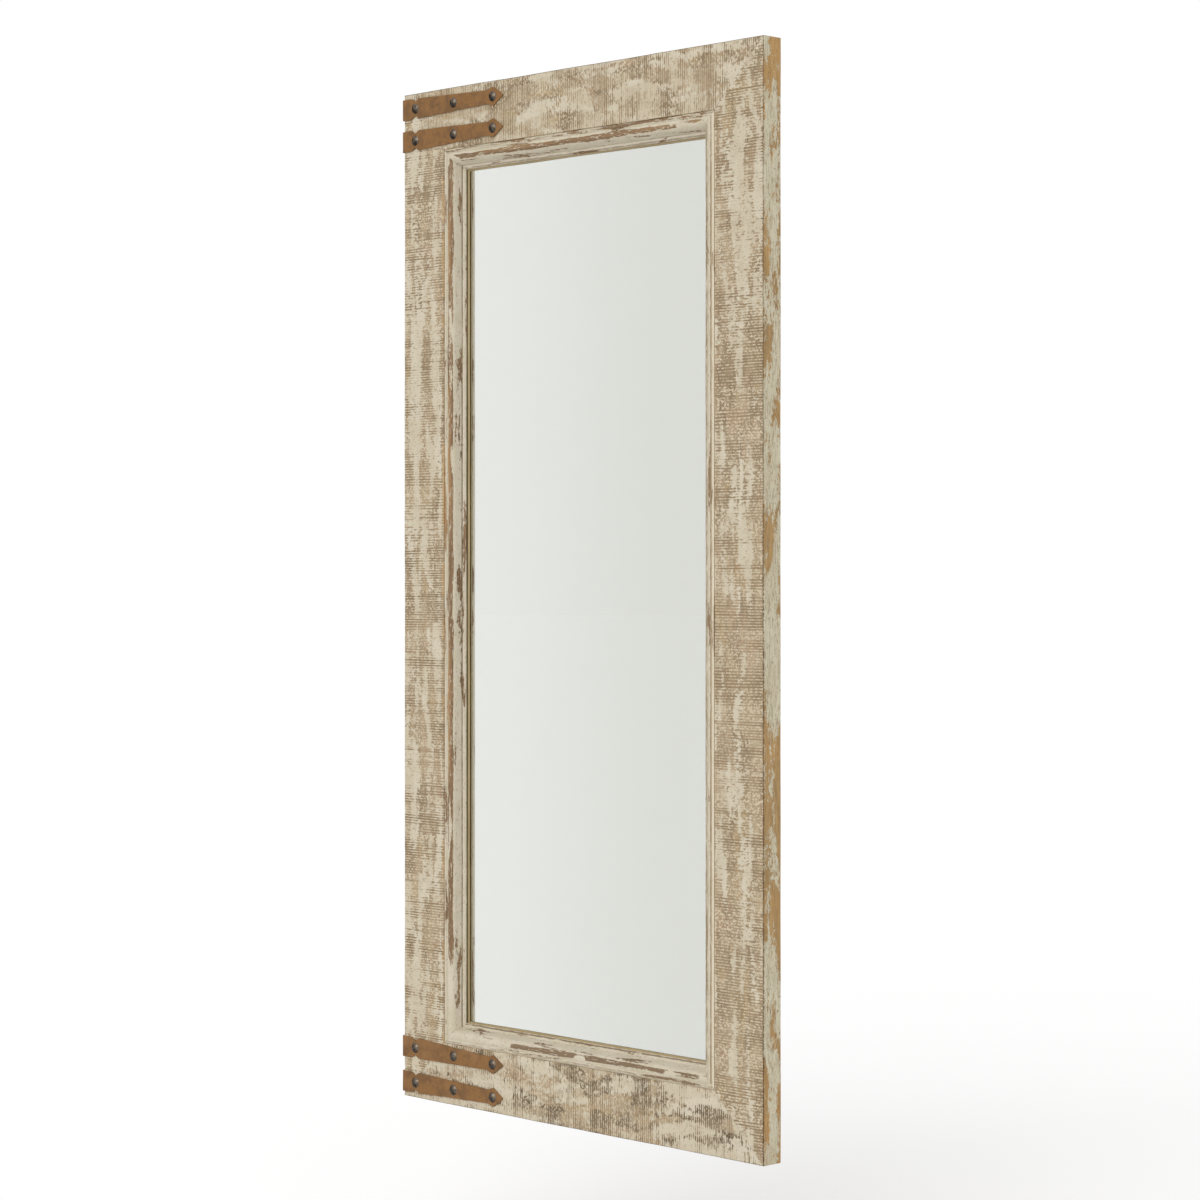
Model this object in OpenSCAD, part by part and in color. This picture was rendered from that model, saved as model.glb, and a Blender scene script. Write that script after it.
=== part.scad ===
// Tall wall mirror in a mitred, rough-sawn timber frame with four iron corner straps.
// Units are millimetres. +Z is up and the mirror faces -Y. The origin is on the wall
// plane, behind the middle of the frame.

/* [Frame] */
// Height of the frame over its outer edges
frame_h = 1800; // [1400:10:2200]
// Width of the frame over its outer edges
frame_w = 880; // [700:10:1200]
// Depth of the frame from its front face to its back edges
frame_d = 42; // [40:1:60]
// Distance that the back edges stand off the wall
wall_gap = 6; // [5:0.5:12]
// Gap left along each mitred corner
mitre_gap = 0.3; // [0:0.1:1]

/* [Face boards and side returns] */
// Width of a face board, from the outer edge to the moulding
board_w = 107; // [100:1:150]
// Thickness of a face board and of a side return
board_t = 18; // [14:1:22]
// Radius of the worn outer arris
arris_r = 2.5; // [1:0.5:5]
// Radius of the eased inner arris and of the back edges
edge_r = 1.2; // [0.5:0.1:2]
// Width of the open seam between a face board and its side return
seam_w = 1.2; // [0.4:0.1:2]
// Distance from the back edges of the returns to the back of the sub-frame
back_recess = 2; // [1:0.5:3]

/* [Inner moulding] */
// Width of the quirk beside the face board
quirk_w = 2; // [1:0.5:4]
// Depth of the quirk below the front face
quirk_d = 3; // [2:0.5:5]
// Width of the flat fillet beside the quirk
fillet_w = 5.5; // [4:0.5:8]
// Depth of the fillet below the front face
fillet_d = 1; // [0.5:0.1:1.6]
// Radius of the torus
torus_r = 11.4; // [10:0.1:13]
// Depth of the torus crest below the front face
torus_d = 0.4; // [0:0.1:0.8]
// Distance from the fillet to the crest of the torus
torus_lead = 7.5; // [6:0.1:9]
// Distance from the torus crest to the root of the slope that falls to the sight lip
slope_w = 14.6; // [13.6:0.1:17]
// Depth of the root groove below the front face
root_d = 17.6; // [15:0.1:19]
// Radius of the root groove at the foot of the slope
root_r = 0.7; // [0.4:0.1:1]
// Width of the sight lip
lip_w = 7.6; // [5:0.1:10]
// Depth of the sight arris below the front face
lip_d = 22.2; // [20:0.1:24]
// Radius of the sight arris
lip_r = 1; // [0.5:0.1:1.5]
// Width of the bevel from the sight arris down to the glass
bevel_w = 2.6; // [1:0.1:5]

/* [Glass and back] */
// Thickness of the mirror glass
glass_t = 3; // [2:0.5:4]
// Space between the edges of the glass and its rebate
glass_gap = 1; // [0.5:0.1:2]
// Thickness of the card behind the glass
pad_t = 6.5; // [4:0.5:8]
// Thickness of the back panel
panel_t = 3; // [2:0.5:4]
// Space between the edges of the back panel and the sub-frame
panel_gap = 1; // [0.5:0.1:2]
// Screws along each long side of the back panel
long_screws = 6; // [3:1:9]
// Screws along each short side of the back panel
short_screws = 2; // [1:1:4]
// Distance from the mitres to the end screws of each long side
corner_lead = 45; // [20:5:80]

/* [Straps] */
// Thickness of the strap iron
strap_t = 2.3; // [1.5:0.1:3]
// Distance from the top or bottom edge to the middle of the outer strap
outer_inset = 29; // [24:1:34]
// Distance between the two straps at the top corner
top_pitch = 57; // [46:1:62]
// Distance between the two straps at the bottom corner
bottom_pitch = 62; // [46:1:66]
// Height of the tab that folds round the edge
tab_h = 36.6; // [28:0.1:44]
// Reach of the tab across the face
tab_reach = 24; // [18:0.5:26]
// Length of the leg on the side of the frame
leg_l = 30; // [15:1:36]
// Height of the waist at the first nail
waist_h = 25; // [21:0.5:30]
// Height of the bar at its wide end
bar_h = 36; // [28:0.5:42]
// Distance from the first nail to the wide end of the bar
bar_lead = 9; // [7:0.5:12]
// Height of the neck before the spear point
neck_h = 24; // [18:0.5:28]
// Height over the shoulders of the spear point
shoulder_h = 33; // [26:0.5:40]
// Distance from the last nail to the tip
tip_l = 27; // [20:0.5:32]

/* [Strap nails] */
// Distance from the edge of the frame to the first nail
first_nail = 34.5; // [30:0.5:38]
// Distance between nails
nail_pitch = 102.8; // [80:0.2:130]
// Diameter of a nail head
head_d = 18; // [12:0.5:20]
// Height of a nail head
head_h = 5; // [3:0.5:6]
// Diameter of a nail shank
shank_d = 3.4; // [2.5:0.1:4]
// Length of a nail shank
shank_l = 18; // [10:1:19]

/* [Screws] */
// Diameter of a screw shank
screw_d = 3.5; // [3:0.1:4]
// Diameter of a screw head
screw_head_d = 7; // [6:0.1:8]
// Length of a panel screw under its head
panel_screw_l = 15; // [10:1:16]
// Length of a hanger screw under the face of its head
hanger_screw_l = 18; // [12:1:20]
// Radial clearance of nails and screws in their holes
hole_gap = 0.05; // [0.02:0.01:0.1]

/* [Hanging hardware] */
// Distance from the top edge to the pivots of the rings
hanger_drop = 300; // [200:10:600]
// Length of a hanger plate below its knuckle
plate_l = 48; // [40:1:60]
// Width of a hanger plate
plate_w = 20; // [16:0.5:22]
// Thickness of a hanger plate
plate_t = 2; // [1.5:0.1:2.4]
// Distance between the two screws of a plate
plate_pitch = 24; // [18:1:26]
// Diameter of the ring wire
wire_d = 4; // [3.5:0.1:4.2]
// Width of a ring, between the middles of its legs
ring_w = 30; // [28:0.5:36]
// Length of the straight legs of a ring
ring_leg = 6; // [4:0.5:12]
// Running clearance of the ring in its knuckle
knuckle_gap = 0.08; // [0.03:0.01:0.1]
// Height of the rolled knuckle above the wood
knuckle_lift = 0.4; // [0.3:0.1:0.6]

/* [Bumpers] */
// Diameter of a wall bumper
bumper_d = 22; // [15:1:30]

/* [Hidden] */
$fn = 64;

// Depths are counted from the front face towards the wall
front_y = -(frame_d + wall_gap);
sub_frame_back = frame_d - back_recess;
moulding_back = sub_frame_back - panel_t;
glass_back = moulding_back - pad_t;
glass_front = glass_back - glass_t;

// Distances inward from the outer edge of the frame
fillet_at = board_w + quirk_w;
torus_at = fillet_at + fillet_w + torus_lead;
rebate_at = torus_at + torus_r;
root_at = torus_at + slope_w;
sight_at = root_at + lip_w;
screw_at = (board_w + rebate_at) / 2;
stile_middle = (board_t + board_w) / 2;

// The groove between fillet and torus is as deep as the torus is where the groove meets it
groove_w = 1.5;
groove_d = torus_d + torus_r - sqrt(pow(torus_r, 2) - pow(torus_lead - groove_w, 2));

// Distances from the last nail on to the shoulders of the spear point, and back to its neck
shoulder_l = 1.5;
neck_lead = 13;

// Radii of the straps' corners at the tab, the waist, the bar, the neck and the tip
tab_r = 9;
waist_r = 1.5;
bar_r = 4;
neck_r = 5;
tip_r = 2;

// The straps lie this close to the wood, and bend a little tighter than its arris
strap_gap = 0.05;
bend_r = arris_r - 0.5;

// Heights of the middles of the four straps, from the top down
strap_heights = [
    frame_h / 2 - outer_inset,
    frame_h / 2 - outer_inset - top_pitch,
    -frame_h / 2 + outer_inset + bottom_pitch,
    -frame_h / 2 + outer_inset
];

// How far each bar climbs from level past its first nail, in degrees, as fitted by hand
strap_climbs = [0, 0.6, -1.3, 0];

hanger_x = frame_w / 2 - stile_middle;
pivot_z = frame_h / 2 - hanger_drop;
knuckle_bore_r = wire_d / 2 + knuckle_gap;
knuckle_r = knuckle_bore_r + plate_t;
pivot_d = sub_frame_back + knuckle_lift + knuckle_r;
plate_screw_lead = 8;
first_plate_screw = knuckle_r + plate_screw_lead;

painted_wood = [0.80, 0.77, 0.68];
bare_wood = [0.72, 0.58, 0.40];
rusty_iron = [0.50, 0.35, 0.23];
dark_iron = [0.25, 0.23, 0.22];
zinc = [0.72, 0.72, 0.70];

function unit(v) = v / norm(v);

// Points of an arc of radius r that rounds the corner b between the points a and c
function corner_arc(a, b, c, r, steps = 8) =
    let (
        to_a = unit(a - b),
        to_c = unit(c - b),
        half = acos(to_a * to_c) / 2,
        centre = b + unit(to_a + to_c) * r / sin(half),
        from = b + to_a * r / tan(half) - centre,
        to = b + to_c * r / tan(half) - centre,
        start = atan2(from.y, from.x),
        turn = atan2(from.x * to.y - from.y * to.x, from * to)
    )
    [for (i = [0:steps]) centre + r * [cos(start + turn * i / steps), sin(start + turn * i / steps)]];

// Outline through corners given as [x, y, radius], where a radius of 0 stays sharp
function rounded_outline(corners) =
    let (n = len(corners))
    [for (i = [0:n - 1])
        let (
            a = corners[(i + n - 1) % n],
            b = corners[i],
            c = corners[(i + 1) % n]
        )
        each b[2] == 0
            ? [[b.x, b.y]]
            : corner_arc([a.x, a.y], [b.x, b.y], [c.x, c.y], b[2])];

// Half the frame's size across a side, and the length of that side
function is_upright(side) = side == "left" || side == "right";
function half_across(side) = (is_upright(side) ? frame_w : frame_h) / 2;
function side_length(side) = is_upright(side) ? frame_h : frame_w;

// Turn from the left side to this one, clockwise as seen from the front
function side_turn(side) = 90 * search([side], ["left", "top", "right", "bottom"])[0];

// Puts a member drawn with X inward, Y towards the wall and Z along it onto its side
module on_side(side)
    rotate([0, side_turn(side), 0])
        translate([-half_across(side), front_y, 0])
            children();

// The wedge-ended space that a mitred member of this side may fill
module mitre_block(side) {
    end = side_length(side) / 2 - mitre_gap * sqrt(0.5);
    reach = sight_at + 1;
    translate([0, frame_d + 1, 0])
        rotate([90, 0, 0])
            linear_extrude(frame_d + 2)
                polygon([[-1, end + 1], [reach, end - reach], [reach, reach - end], [-1, -end - 1]]);
}

// A mitred member whose cross-section is the child, drawn as distance inward and depth
module member(side)
    on_side(side)
        intersection() {
            translate([0, 0, -side_length(side) / 2])
                linear_extrude(side_length(side))
                    children();
            mitre_block(side);
        }

// Cross-section of the frame's outer corner, with the open seam cut along its arris
module outer_corner_section() {
    difference() {
        polygon(rounded_outline([
            [0, 0, arris_r],
            [board_w, 0, edge_r],
            [board_w, frame_d, 0],
            [0, frame_d, edge_r]
        ]));
        translate([arris_r * (1 - sqrt(0.5)), arris_r * (1 - sqrt(0.5))])
            rotate(45)
                square([2 * seam_w, seam_w], center = true);
    }
}

module face_board_section()
    intersection() {
        outer_corner_section();
        polygon([[0, 0], [board_w, 0], [board_w, board_t], [board_t, board_t]]);
    }

module side_return_section()
    intersection() {
        outer_corner_section();
        polygon([[0, 0], [board_t, board_t], [board_t, frame_d], [0, frame_d]]);
    }

// Quirk, fillet, torus, slope and sloping sight lip, with the rebate for the glass behind
module moulding_section() {
    difference() {
        union() {
            translate([board_w, quirk_d])
                square([fillet_w + quirk_w, moulding_back - quirk_d]);
            translate([fillet_at, fillet_d])
                square([fillet_w, moulding_back - fillet_d]);
            hull() {
                translate([torus_at, torus_d + torus_r])
                    circle(torus_r);
                translate([fillet_at, root_d])
                    square([root_at - fillet_at, glass_front - root_d]);
            }
            translate([fillet_at, groove_d])
                square([torus_at - fillet_at, moulding_back - groove_d]);
            translate([fillet_at, root_d])
                square([rebate_at - fillet_at, moulding_back - root_d]);
            polygon(rounded_outline([
                [fillet_at, root_d, 0],
                [root_at, root_d, 0],
                [sight_at, lip_d, lip_r],
                [sight_at + bevel_w, glass_front, 0],
                [fillet_at, glass_front, 0]
            ]));
        }
        translate([root_at + root_r / 2, root_d])
            circle(root_r);
    }
}

// Square-edged frame panel whose edges lie the given distance inside the frame's
module panel(inset, depth, thickness)
    translate([inset - frame_w / 2, front_y + depth, inset - frame_h / 2])
        cube([frame_w - 2 * inset, thickness, frame_h - 2 * inset]);

// Straight pin along Y from one depth to another
module depth_pin(r, from, to)
    translate([0, front_y + from, 0])
        rotate([-90, 0, 0])
            cylinder(r = r, h = to - from);

// Places children at each nail of strap i, which climbs from its first nail on
module at_nails(i)
    translate([first_nail - frame_w / 2, 0, strap_heights[i]])
        rotate([0, -strap_climbs[i], 0])
            for (n = [0:2])
                translate([n * nail_pitch, 0, 0])
                    children();

module all_nail_shanks(gap)
    for (i = [0:3])
        at_nails(i)
            depth_pin(shank_d / 2 + gap, -strap_t - strap_gap - 1, shank_l - strap_t);

module face_board(side)
    color(painted_wood)
        difference() {
            member(side) face_board_section();
            all_nail_shanks(hole_gap);
        }

module side_return(side)
    color(painted_wood)
        member(side) side_return_section();

module moulding(side)
    color(painted_wood)
        difference() {
            member(side) moulding_section();
            all_panel_screws(hole_gap);
        }

// A sub-frame piece that runs full height between the returns
module back_stile(side) {
    length = frame_h - 2 * board_t;
    color(bare_wood)
        difference() {
            on_side(side)
                translate([board_t, board_t, -length / 2])
                    cube([board_w - board_t, sub_frame_back - board_t, length]);
            all_hanger_screws(hole_gap);
        }
}

// A sub-frame piece that fits between the two stiles
module back_rail(side) {
    length = frame_w - 2 * board_w;
    color(bare_wood)
        on_side(side)
            translate([board_t, board_t, -length / 2])
                cube([board_w - board_t, sub_frame_back - board_t, length]);
}

module mirror_glass()
    color([0.86, 0.88, 0.86])
        panel(rebate_at + glass_gap, glass_front, glass_t);

module backing_pad()
    color([0.62, 0.50, 0.36])
        panel(rebate_at + glass_gap, glass_back, pad_t);

module back_panel()
    color([0.55, 0.42, 0.29])
        difference() {
            panel(board_w + panel_gap, moulding_back, panel_t);
            all_panel_screws(hole_gap);
        }

// Positions of the panel screws, spread evenly along each side and clear of the mitres
long_side_span = frame_h - 2 * screw_at;
short_side_span = frame_w - 2 * screw_at;
end_to_end = long_side_span - 2 * corner_lead;
panel_screw_spots = concat(
    [for (x = [-1, 1], k = [0:long_screws - 1])
        [x * short_side_span / 2, end_to_end * (k / (long_screws - 1) - 0.5)]],
    [for (z = [-1, 1], k = [1:short_screws])
        [short_side_span * (k / (short_screws + 1) - 0.5), z * long_side_span / 2]]
);

module all_panel_screws(gap)
    for (spot = panel_screw_spots)
        translate([spot.x, 0, spot.y])
            depth_pin(screw_d / 2 + gap, sub_frame_back - panel_screw_l - gap, sub_frame_back);

// Pan-head screw: domed head that sits on the panel, with a cross recess
module panel_screw() {
    head_t = screw_head_d / 3;
    difference() {
        union() {
            depth_pin(screw_d / 2, sub_frame_back - panel_screw_l, sub_frame_back);
            translate([0, front_y + sub_frame_back, 0])
                rotate([-90, 0, 0])
                    rotate_extrude()
                        intersection() {
                            square([screw_head_d / 2, head_t]);
                            translate([0, head_t - screw_head_d * 0.7])
                                circle(screw_head_d * 0.7);
                        }
        }
        cross_recess(sub_frame_back + head_t);
    }
}

// Cross-shaped driver recess that opens towards the wall at the given depth
module cross_recess(depth)
    for (turn = [0, 90])
        translate([0, front_y + depth, 0])
            rotate([0, turn, 0])
                cube([screw_head_d * 0.55, 2, screw_head_d * 0.14], center = true);

module panel_screws()
    color(zinc)
        for (spot = panel_screw_spots)
            translate([spot.x, 0, spot.y])
                panel_screw();

// Bar from the waist at the first nail to the tip: it tapers to a neck, then swells to
// the shoulders of a spear point
module bar_outline() {
    last = 2 * nail_pitch;
    upper = [
        [0, waist_h / 2, waist_r],
        [bar_lead, bar_h / 2, bar_r],
        [last - neck_lead, neck_h / 2, neck_r],
        [last + shoulder_l, shoulder_h / 2, bar_r]
    ];
    lower = [for (k = [len(upper) - 1:-1:0]) [upper[k].x, -upper[k].y, upper[k][2]]];
    polygon(rounded_outline(concat(upper, [[last + tip_l, 0, tip_r]], lower)));
}

// Tab from the fold to the waist, with its corners rounded off
module tab_outline()
    polygon(rounded_outline([
        [-first_nail, tab_h / 2, 0],
        [tab_reach - first_nail, tab_h / 2, tab_r],
        [1, waist_h / 2 - 0.5, 1],
        [1, -waist_h / 2 + 0.5, 1],
        [tab_reach - first_nail, -tab_h / 2, tab_r],
        [-first_nail, -tab_h / 2, 0]
    ]));

// Extrudes an outline drawn in X and Z as a sheet on the front of the frame
module face_sheet()
    translate([0, front_y - strap_gap, 0])
        rotate([90, 0, 0])
            linear_extrude(strap_t)
                children();

// Folded leg: the sheet bent round the outer arris and back along the side
module strap_fold() {
    outer = strap_gap + strap_t;
    reach = bend_r + strap_t + 1;
    translate([-frame_w / 2, front_y, -tab_h / 2])
        linear_extrude(tab_h)
            polygon(rounded_outline([
                [-outer, -outer, bend_r + strap_t],
                [reach, -outer, 0],
                [reach, -strap_gap, 0],
                [-strap_gap, -strap_gap, bend_r],
                [-strap_gap, leg_l, 0],
                [-outer, leg_l, 0]
            ]));
}

module strap(i)
    color(rusty_iron)
        difference() {
            union() {
                translate([0, 0, strap_heights[i]])
                    strap_fold();
                translate([first_nail - frame_w / 2, 0, strap_heights[i]]) {
                    face_sheet()
                        difference() {
                            tab_outline();
                            translate([-first_nail - 1, -tab_h])
                                square([1 + bend_r + strap_t, 2 * tab_h]);
                        }
                    rotate([0, -strap_climbs[i], 0])
                        face_sheet()
                            bar_outline();
                }
            }
            all_nail_shanks(hole_gap);
        }

// Domed clout nail, with its head seated on the strap
module strap_nail() {
    seat = -strap_t - strap_gap;
    dome_r = (pow(head_d / 2, 2) + pow(head_h, 2)) / (2 * head_h);
    depth_pin(shank_d / 2, seat, shank_l - strap_t);
    translate([0, front_y + seat, 0])
        rotate([90, 0, 0])
            rotate_extrude()
                intersection() {
                    square([head_d / 2, head_h]);
                    translate([0, head_h - dome_r])
                        circle(dome_r);
                }
}

module strap_nails()
    color(dark_iron)
        for (i = [0:3])
            at_nails(i)
                strap_nail();

// Places children at a hanger: -1 is on the left stile and 1 on the right
module at_hanger(hand)
    translate([hand * hanger_x, 0, pivot_z])
        children();

module all_hanger_screws(gap)
    for (hand = [-1, 1], k = [0, 1])
        at_hanger(hand)
            translate([0, 0, -first_plate_screw - k * plate_pitch])
                depth_pin(screw_d / 2 + gap, sub_frame_back + plate_t - hanger_screw_l - gap,
                          sub_frame_back + plate_t + 1);

// Countersunk head, flush with the plate
module countersunk_head(gap)
    translate([0, front_y + sub_frame_back + plate_t, 0])
        rotate([90, 0, 0])
            cylinder(r1 = screw_head_d / 2 + gap, r2 = screw_d / 2 + gap,
                     h = (screw_head_d - screw_d) / 2);

module hanger_screws()
    color(zinc)
        for (hand = [-1, 1], k = [0, 1])
            at_hanger(hand)
                translate([0, 0, -first_plate_screw - k * plate_pitch])
                    difference() {
                        union() {
                            depth_pin(screw_d / 2, sub_frame_back + plate_t - hanger_screw_l,
                                      sub_frame_back + plate_t);
                            countersunk_head(0);
                        }
                        cross_recess(sub_frame_back + plate_t);
                    }

// Strap plate with a round end below and a rolled knuckle above that carries the ring
module hanger_plate(hand)
    color(zinc)
        difference() {
            union() {
                at_hanger(hand)
                    translate([0, front_y + sub_frame_back, 0])
                        rotate([-90, 0, 0])
                            linear_extrude(plate_t) {
                                translate([-plate_w / 2, 0])
                                    square([plate_w, plate_l - plate_w / 2]);
                                translate([0, plate_l - plate_w / 2])
                                    circle(plate_w / 2);
                            }
                at_hanger(hand)
                    translate([-plate_w / 2, front_y + pivot_d, 0])
                        rotate([0, 90, 0])
                            cylinder(r = knuckle_r, h = plate_w);
            }
            at_hanger(hand)
                translate([-plate_w, front_y + pivot_d, 0])
                    rotate([0, 90, 0])
                        cylinder(r = knuckle_bore_r, h = 2 * plate_w);
            all_hanger_screws(hole_gap);
            at_hanger(hand)
                for (k = [0, 1])
                    translate([0, 0, -first_plate_screw - k * plate_pitch])
                        countersunk_head(hole_gap);
        }

// Wire ring, hanging down: straight pivot bar, two legs and a half round
module hanging_ring(hand) {
    half_w = ring_w / 2;
    color(zinc)
        at_hanger(hand)
            translate([0, front_y + pivot_d, 0]) {
                translate([-half_w, 0, 0])
                    rotate([0, 90, 0])
                        cylinder(d = wire_d, h = ring_w);
                for (x = [-half_w, half_w]) {
                    translate([x, 0, 0])
                        sphere(d = wire_d);
                    translate([x, 0, -ring_leg])
                        cylinder(d = wire_d, h = ring_leg);
                }
                translate([0, 0, -ring_leg])
                    rotate([90, 0, 0])
                        rotate([0, 0, 180])
                            rotate_extrude(angle = 180)
                                translate([half_w, 0])
                                    circle(d = wire_d);
            }
}

// Felt-faced bumpers on the sub-frame's corners keep the frame parallel to the wall
module wall_bumpers()
    color([0.20, 0.19, 0.18])
        for (x = [-1, 1], z = [-1, 1])
            translate([x * (frame_w / 2 - stile_middle), 0, z * (frame_h / 2 - stile_middle)])
                depth_pin(bumper_d / 2, sub_frame_back, frame_d + wall_gap);

face_board("left");  // left_face_board
face_board("top");  // top_face_board
face_board("right");  // right_face_board
face_board("bottom");  // bottom_face_board
side_return("left");  // left_side_return
side_return("top");  // top_side_return
side_return("right");  // right_side_return
side_return("bottom");  // bottom_side_return
moulding("left");  // left_moulding
moulding("top");  // top_moulding
moulding("right");  // right_moulding
moulding("bottom");  // bottom_moulding
back_stile("left");  // left_back_stile
back_stile("right");  // right_back_stile
back_rail("top");  // top_back_rail
back_rail("bottom");  // bottom_back_rail
mirror_glass();
backing_pad();
back_panel();
panel_screws();
strap(0);  // top_outer_strap
strap(1);  // top_inner_strap
strap(2);  // bottom_inner_strap
strap(3);  // bottom_outer_strap
strap_nails();
hanger_plate(-1);  // left_hanger_plate
hanger_plate(1);  // right_hanger_plate
hanging_ring(-1);  // left_hanging_ring
hanging_ring(1);  // right_hanging_ring
hanger_screws();
wall_bumpers();
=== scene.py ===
"""Tall wall mirror: the looks of a sawn and painted timber frame with four iron corner straps.

Metres throughout. +Z is up and the mirror faces -Y; the origin is on the wall plane, behind
the middle of the frame. Distances "across" are counted inward from the frame's outer edge and
distances "deep" from its front face towards the wall.
"""

import math
import random

import bmesh
import bpy
from mathutils import Matrix, Vector, noise


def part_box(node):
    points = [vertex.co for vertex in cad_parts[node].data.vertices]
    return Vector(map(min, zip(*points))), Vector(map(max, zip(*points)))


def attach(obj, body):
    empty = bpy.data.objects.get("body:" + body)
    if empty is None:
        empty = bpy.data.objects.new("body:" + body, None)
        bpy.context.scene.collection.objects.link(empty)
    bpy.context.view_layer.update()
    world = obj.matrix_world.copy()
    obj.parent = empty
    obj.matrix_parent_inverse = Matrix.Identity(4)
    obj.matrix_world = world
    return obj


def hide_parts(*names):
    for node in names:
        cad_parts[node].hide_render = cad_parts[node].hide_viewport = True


bl_info = {
    "name": "Wall Mirror Dressing",
    "version": (1, 0, 0),
    "blender": (4, 5, 0),
    "location": "View3D > Sidebar > Wall Mirror",
    "description": "Dresses a tall timber wall mirror with sawn, painted and forged pieces",
    "category": "Object",
}

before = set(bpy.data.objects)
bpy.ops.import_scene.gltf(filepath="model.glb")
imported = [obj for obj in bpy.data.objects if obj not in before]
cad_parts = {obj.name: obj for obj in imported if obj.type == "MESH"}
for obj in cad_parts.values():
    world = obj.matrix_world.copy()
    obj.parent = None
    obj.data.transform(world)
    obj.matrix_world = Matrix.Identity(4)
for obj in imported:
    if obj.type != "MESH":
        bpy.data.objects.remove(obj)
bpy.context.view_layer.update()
MM = 0.001

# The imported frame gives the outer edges, the front face and the back edges
LEFT_BOARD_LOW, LEFT_BOARD_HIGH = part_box("left_face_board")
LEFT_RETURN_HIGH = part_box("left_side_return")[1]
HALF_W = -LEFT_BOARD_LOW.x
HALF_H = LEFT_BOARD_HIGH.z
FRONT_Y = LEFT_BOARD_LOW.y
FRAME_D = LEFT_RETURN_HIGH.y - FRONT_Y
SIDES = ("left", "top", "right", "bottom")
BOARD_W = 107 * MM
# Width of the open joint at each mitre
MITRE_GAP = 0.3 * MM
# Specular level of old chalky paint
CHALKY = 0.22

# Without a seed, the vector noise takes its offsets from the clock
SEED = 17
noise.seed_set(SEED)


def tone(red, green, blue):
    """Linear colour of an 8-bit screen colour."""
    parts = [value / 255 for value in (red, green, blue)]
    return tuple(p / 12.92 if p <= 0.04045 else ((p + 0.055) / 1.055) ** 2.4 for p in parts)


def size(name, description, default, low, high):
    """Length property in metres."""
    return bpy.props.FloatProperty(
        name=name, description=description, default=default, min=low, max=high,
        subtype="DISTANCE", unit="LENGTH", precision=5,
    )


def colour(name, description, default):
    """Colour property."""
    return bpy.props.FloatVectorProperty(
        name=name, description=description, default=default, min=0, max=1, size=3,
        subtype="COLOR",
    )


class MirrorSizes(bpy.types.PropertyGroup):
    """Sizes of the marks and edges that the CAD model leaves plain."""

    saw_pitch: size("Saw mark pitch", "Distance between saw marks", 4.6 * MM, 2 * MM, 10 * MM)
    saw_depth: size("Saw mark depth", "Depth of the deepest saw marks", 0.55 * MM, 0, 1 * MM)
    warp: size("Warp", "How far the timber wanders off straight", 0.7 * MM, 0, 3 * MM)
    chip: size("Chips", "Depth of the chips along worn arrises", 0.9 * MM, 0, 2 * MM)
    seam_open: size("Seam opening", "Extra width of the open seam low on the right", 0.9 * MM, 0,
                    2 * MM)
    strap_edge: size("Strap edge", "Radius of the straps' filed edges", 0.35 * MM, 0.1 * MM,
                     1 * MM)
    strap_dent: size("Strap dents", "Depth of the hammer dents in the straps", 0.22 * MM, 0,
                     1 * MM)
    facet_depth: size("Facet depth", "Depth of the hammered facets on the nail heads",
                      0.42 * MM, 0.1 * MM, 1 * MM)
    facets: bpy.props.IntProperty(
        name="Facets", description="Hammered facets on each nail head", default=15, min=4,
        max=40,
    )
    floor_drop: size("Floor drop", "Distance from the frame's bottom edge to the floor", 0.3,
                     0.01, 1.0)


class MirrorColours(bpy.types.PropertyGroup):
    """Colours of the finishes."""

    paint: colour("Paint", "Off-white paint on the face boards", tone(207, 197, 176))
    thin_paint: colour("Thin paint", "Paint worn thin over the wood", tone(190, 175, 150))
    sawn_wood: colour("Sawn wood", "Weathered wood of the face boards", tone(156, 137, 109))
    tan_wood: colour("Tan wood", "Warmer streaks of the face boards", tone(176, 156, 127))
    groove: colour("Groove", "Dirt in the saw marks", tone(128, 108, 82))
    side_wood: colour("Side wood", "Ochre wood of the planed sides", tone(184, 150, 102))
    mould_wood: colour("Moulding wood", "Red-brown wood of the moulding", tone(154, 124, 94))
    pine: colour("Pine", "Unpainted wood at the back", tone(205, 172, 126))
    rust: colour("Rust", "Rusted iron of the straps", tone(140, 101, 60))
    dark_iron: colour("Dark iron", "Blackened iron of the nail heads", tone(92, 84, 74))
    zinc: colour("Zinc", "Plated steel of the hanging hardware", tone(190, 192, 194))


class Pen:
    """Draws a closed outline in the XY plane with bmesh operators, and fills it."""

    def __init__(self, bm, start):
        self.bm = bm
        self.start = start
        self.tip = bm.verts.new((*start, 0))

    def line(self, *points):
        """Straight lines to the points."""
        for point in points:
            made = bmesh.ops.extrude_vert_indiv(self.bm, verts=[self.tip])
            self.tip = made["verts"][0]
            self.tip.co = (*point, 0)
        return self

    def arc(self, centre, degrees, steps):
        """Arc about the centre, counter-clockwise where degrees is positive."""
        made = bmesh.ops.spin(
            self.bm, geom=[self.tip], cent=(*centre, 0), axis=(0, 0, 1),
            angle=math.radians(degrees), steps=steps, use_duplicate=False,
        )
        self.tip = made["geom_last"][0]
        return self

    def fill(self):
        """Closes the outline and returns its face."""
        self.line(self.start)
        bmesh.ops.remove_doubles(self.bm, verts=self.bm.verts[:], dist=1e-7)
        bmesh.ops.contextual_create(self.bm, geom=self.bm.edges[:])
        self.bm.faces.ensure_lookup_table()
        return self.bm.faces[0]


def mesh_of(bm, name):
    """Mesh of a finished bmesh."""
    mesh = bpy.data.meshes.new(name)
    bm.to_mesh(mesh)
    bm.free()
    return mesh


def scene_object(name, data):
    """New object in the scene, at the origin."""
    made = bpy.data.objects.new(name, data)
    bpy.context.scene.collection.objects.link(made)
    return made


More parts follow.
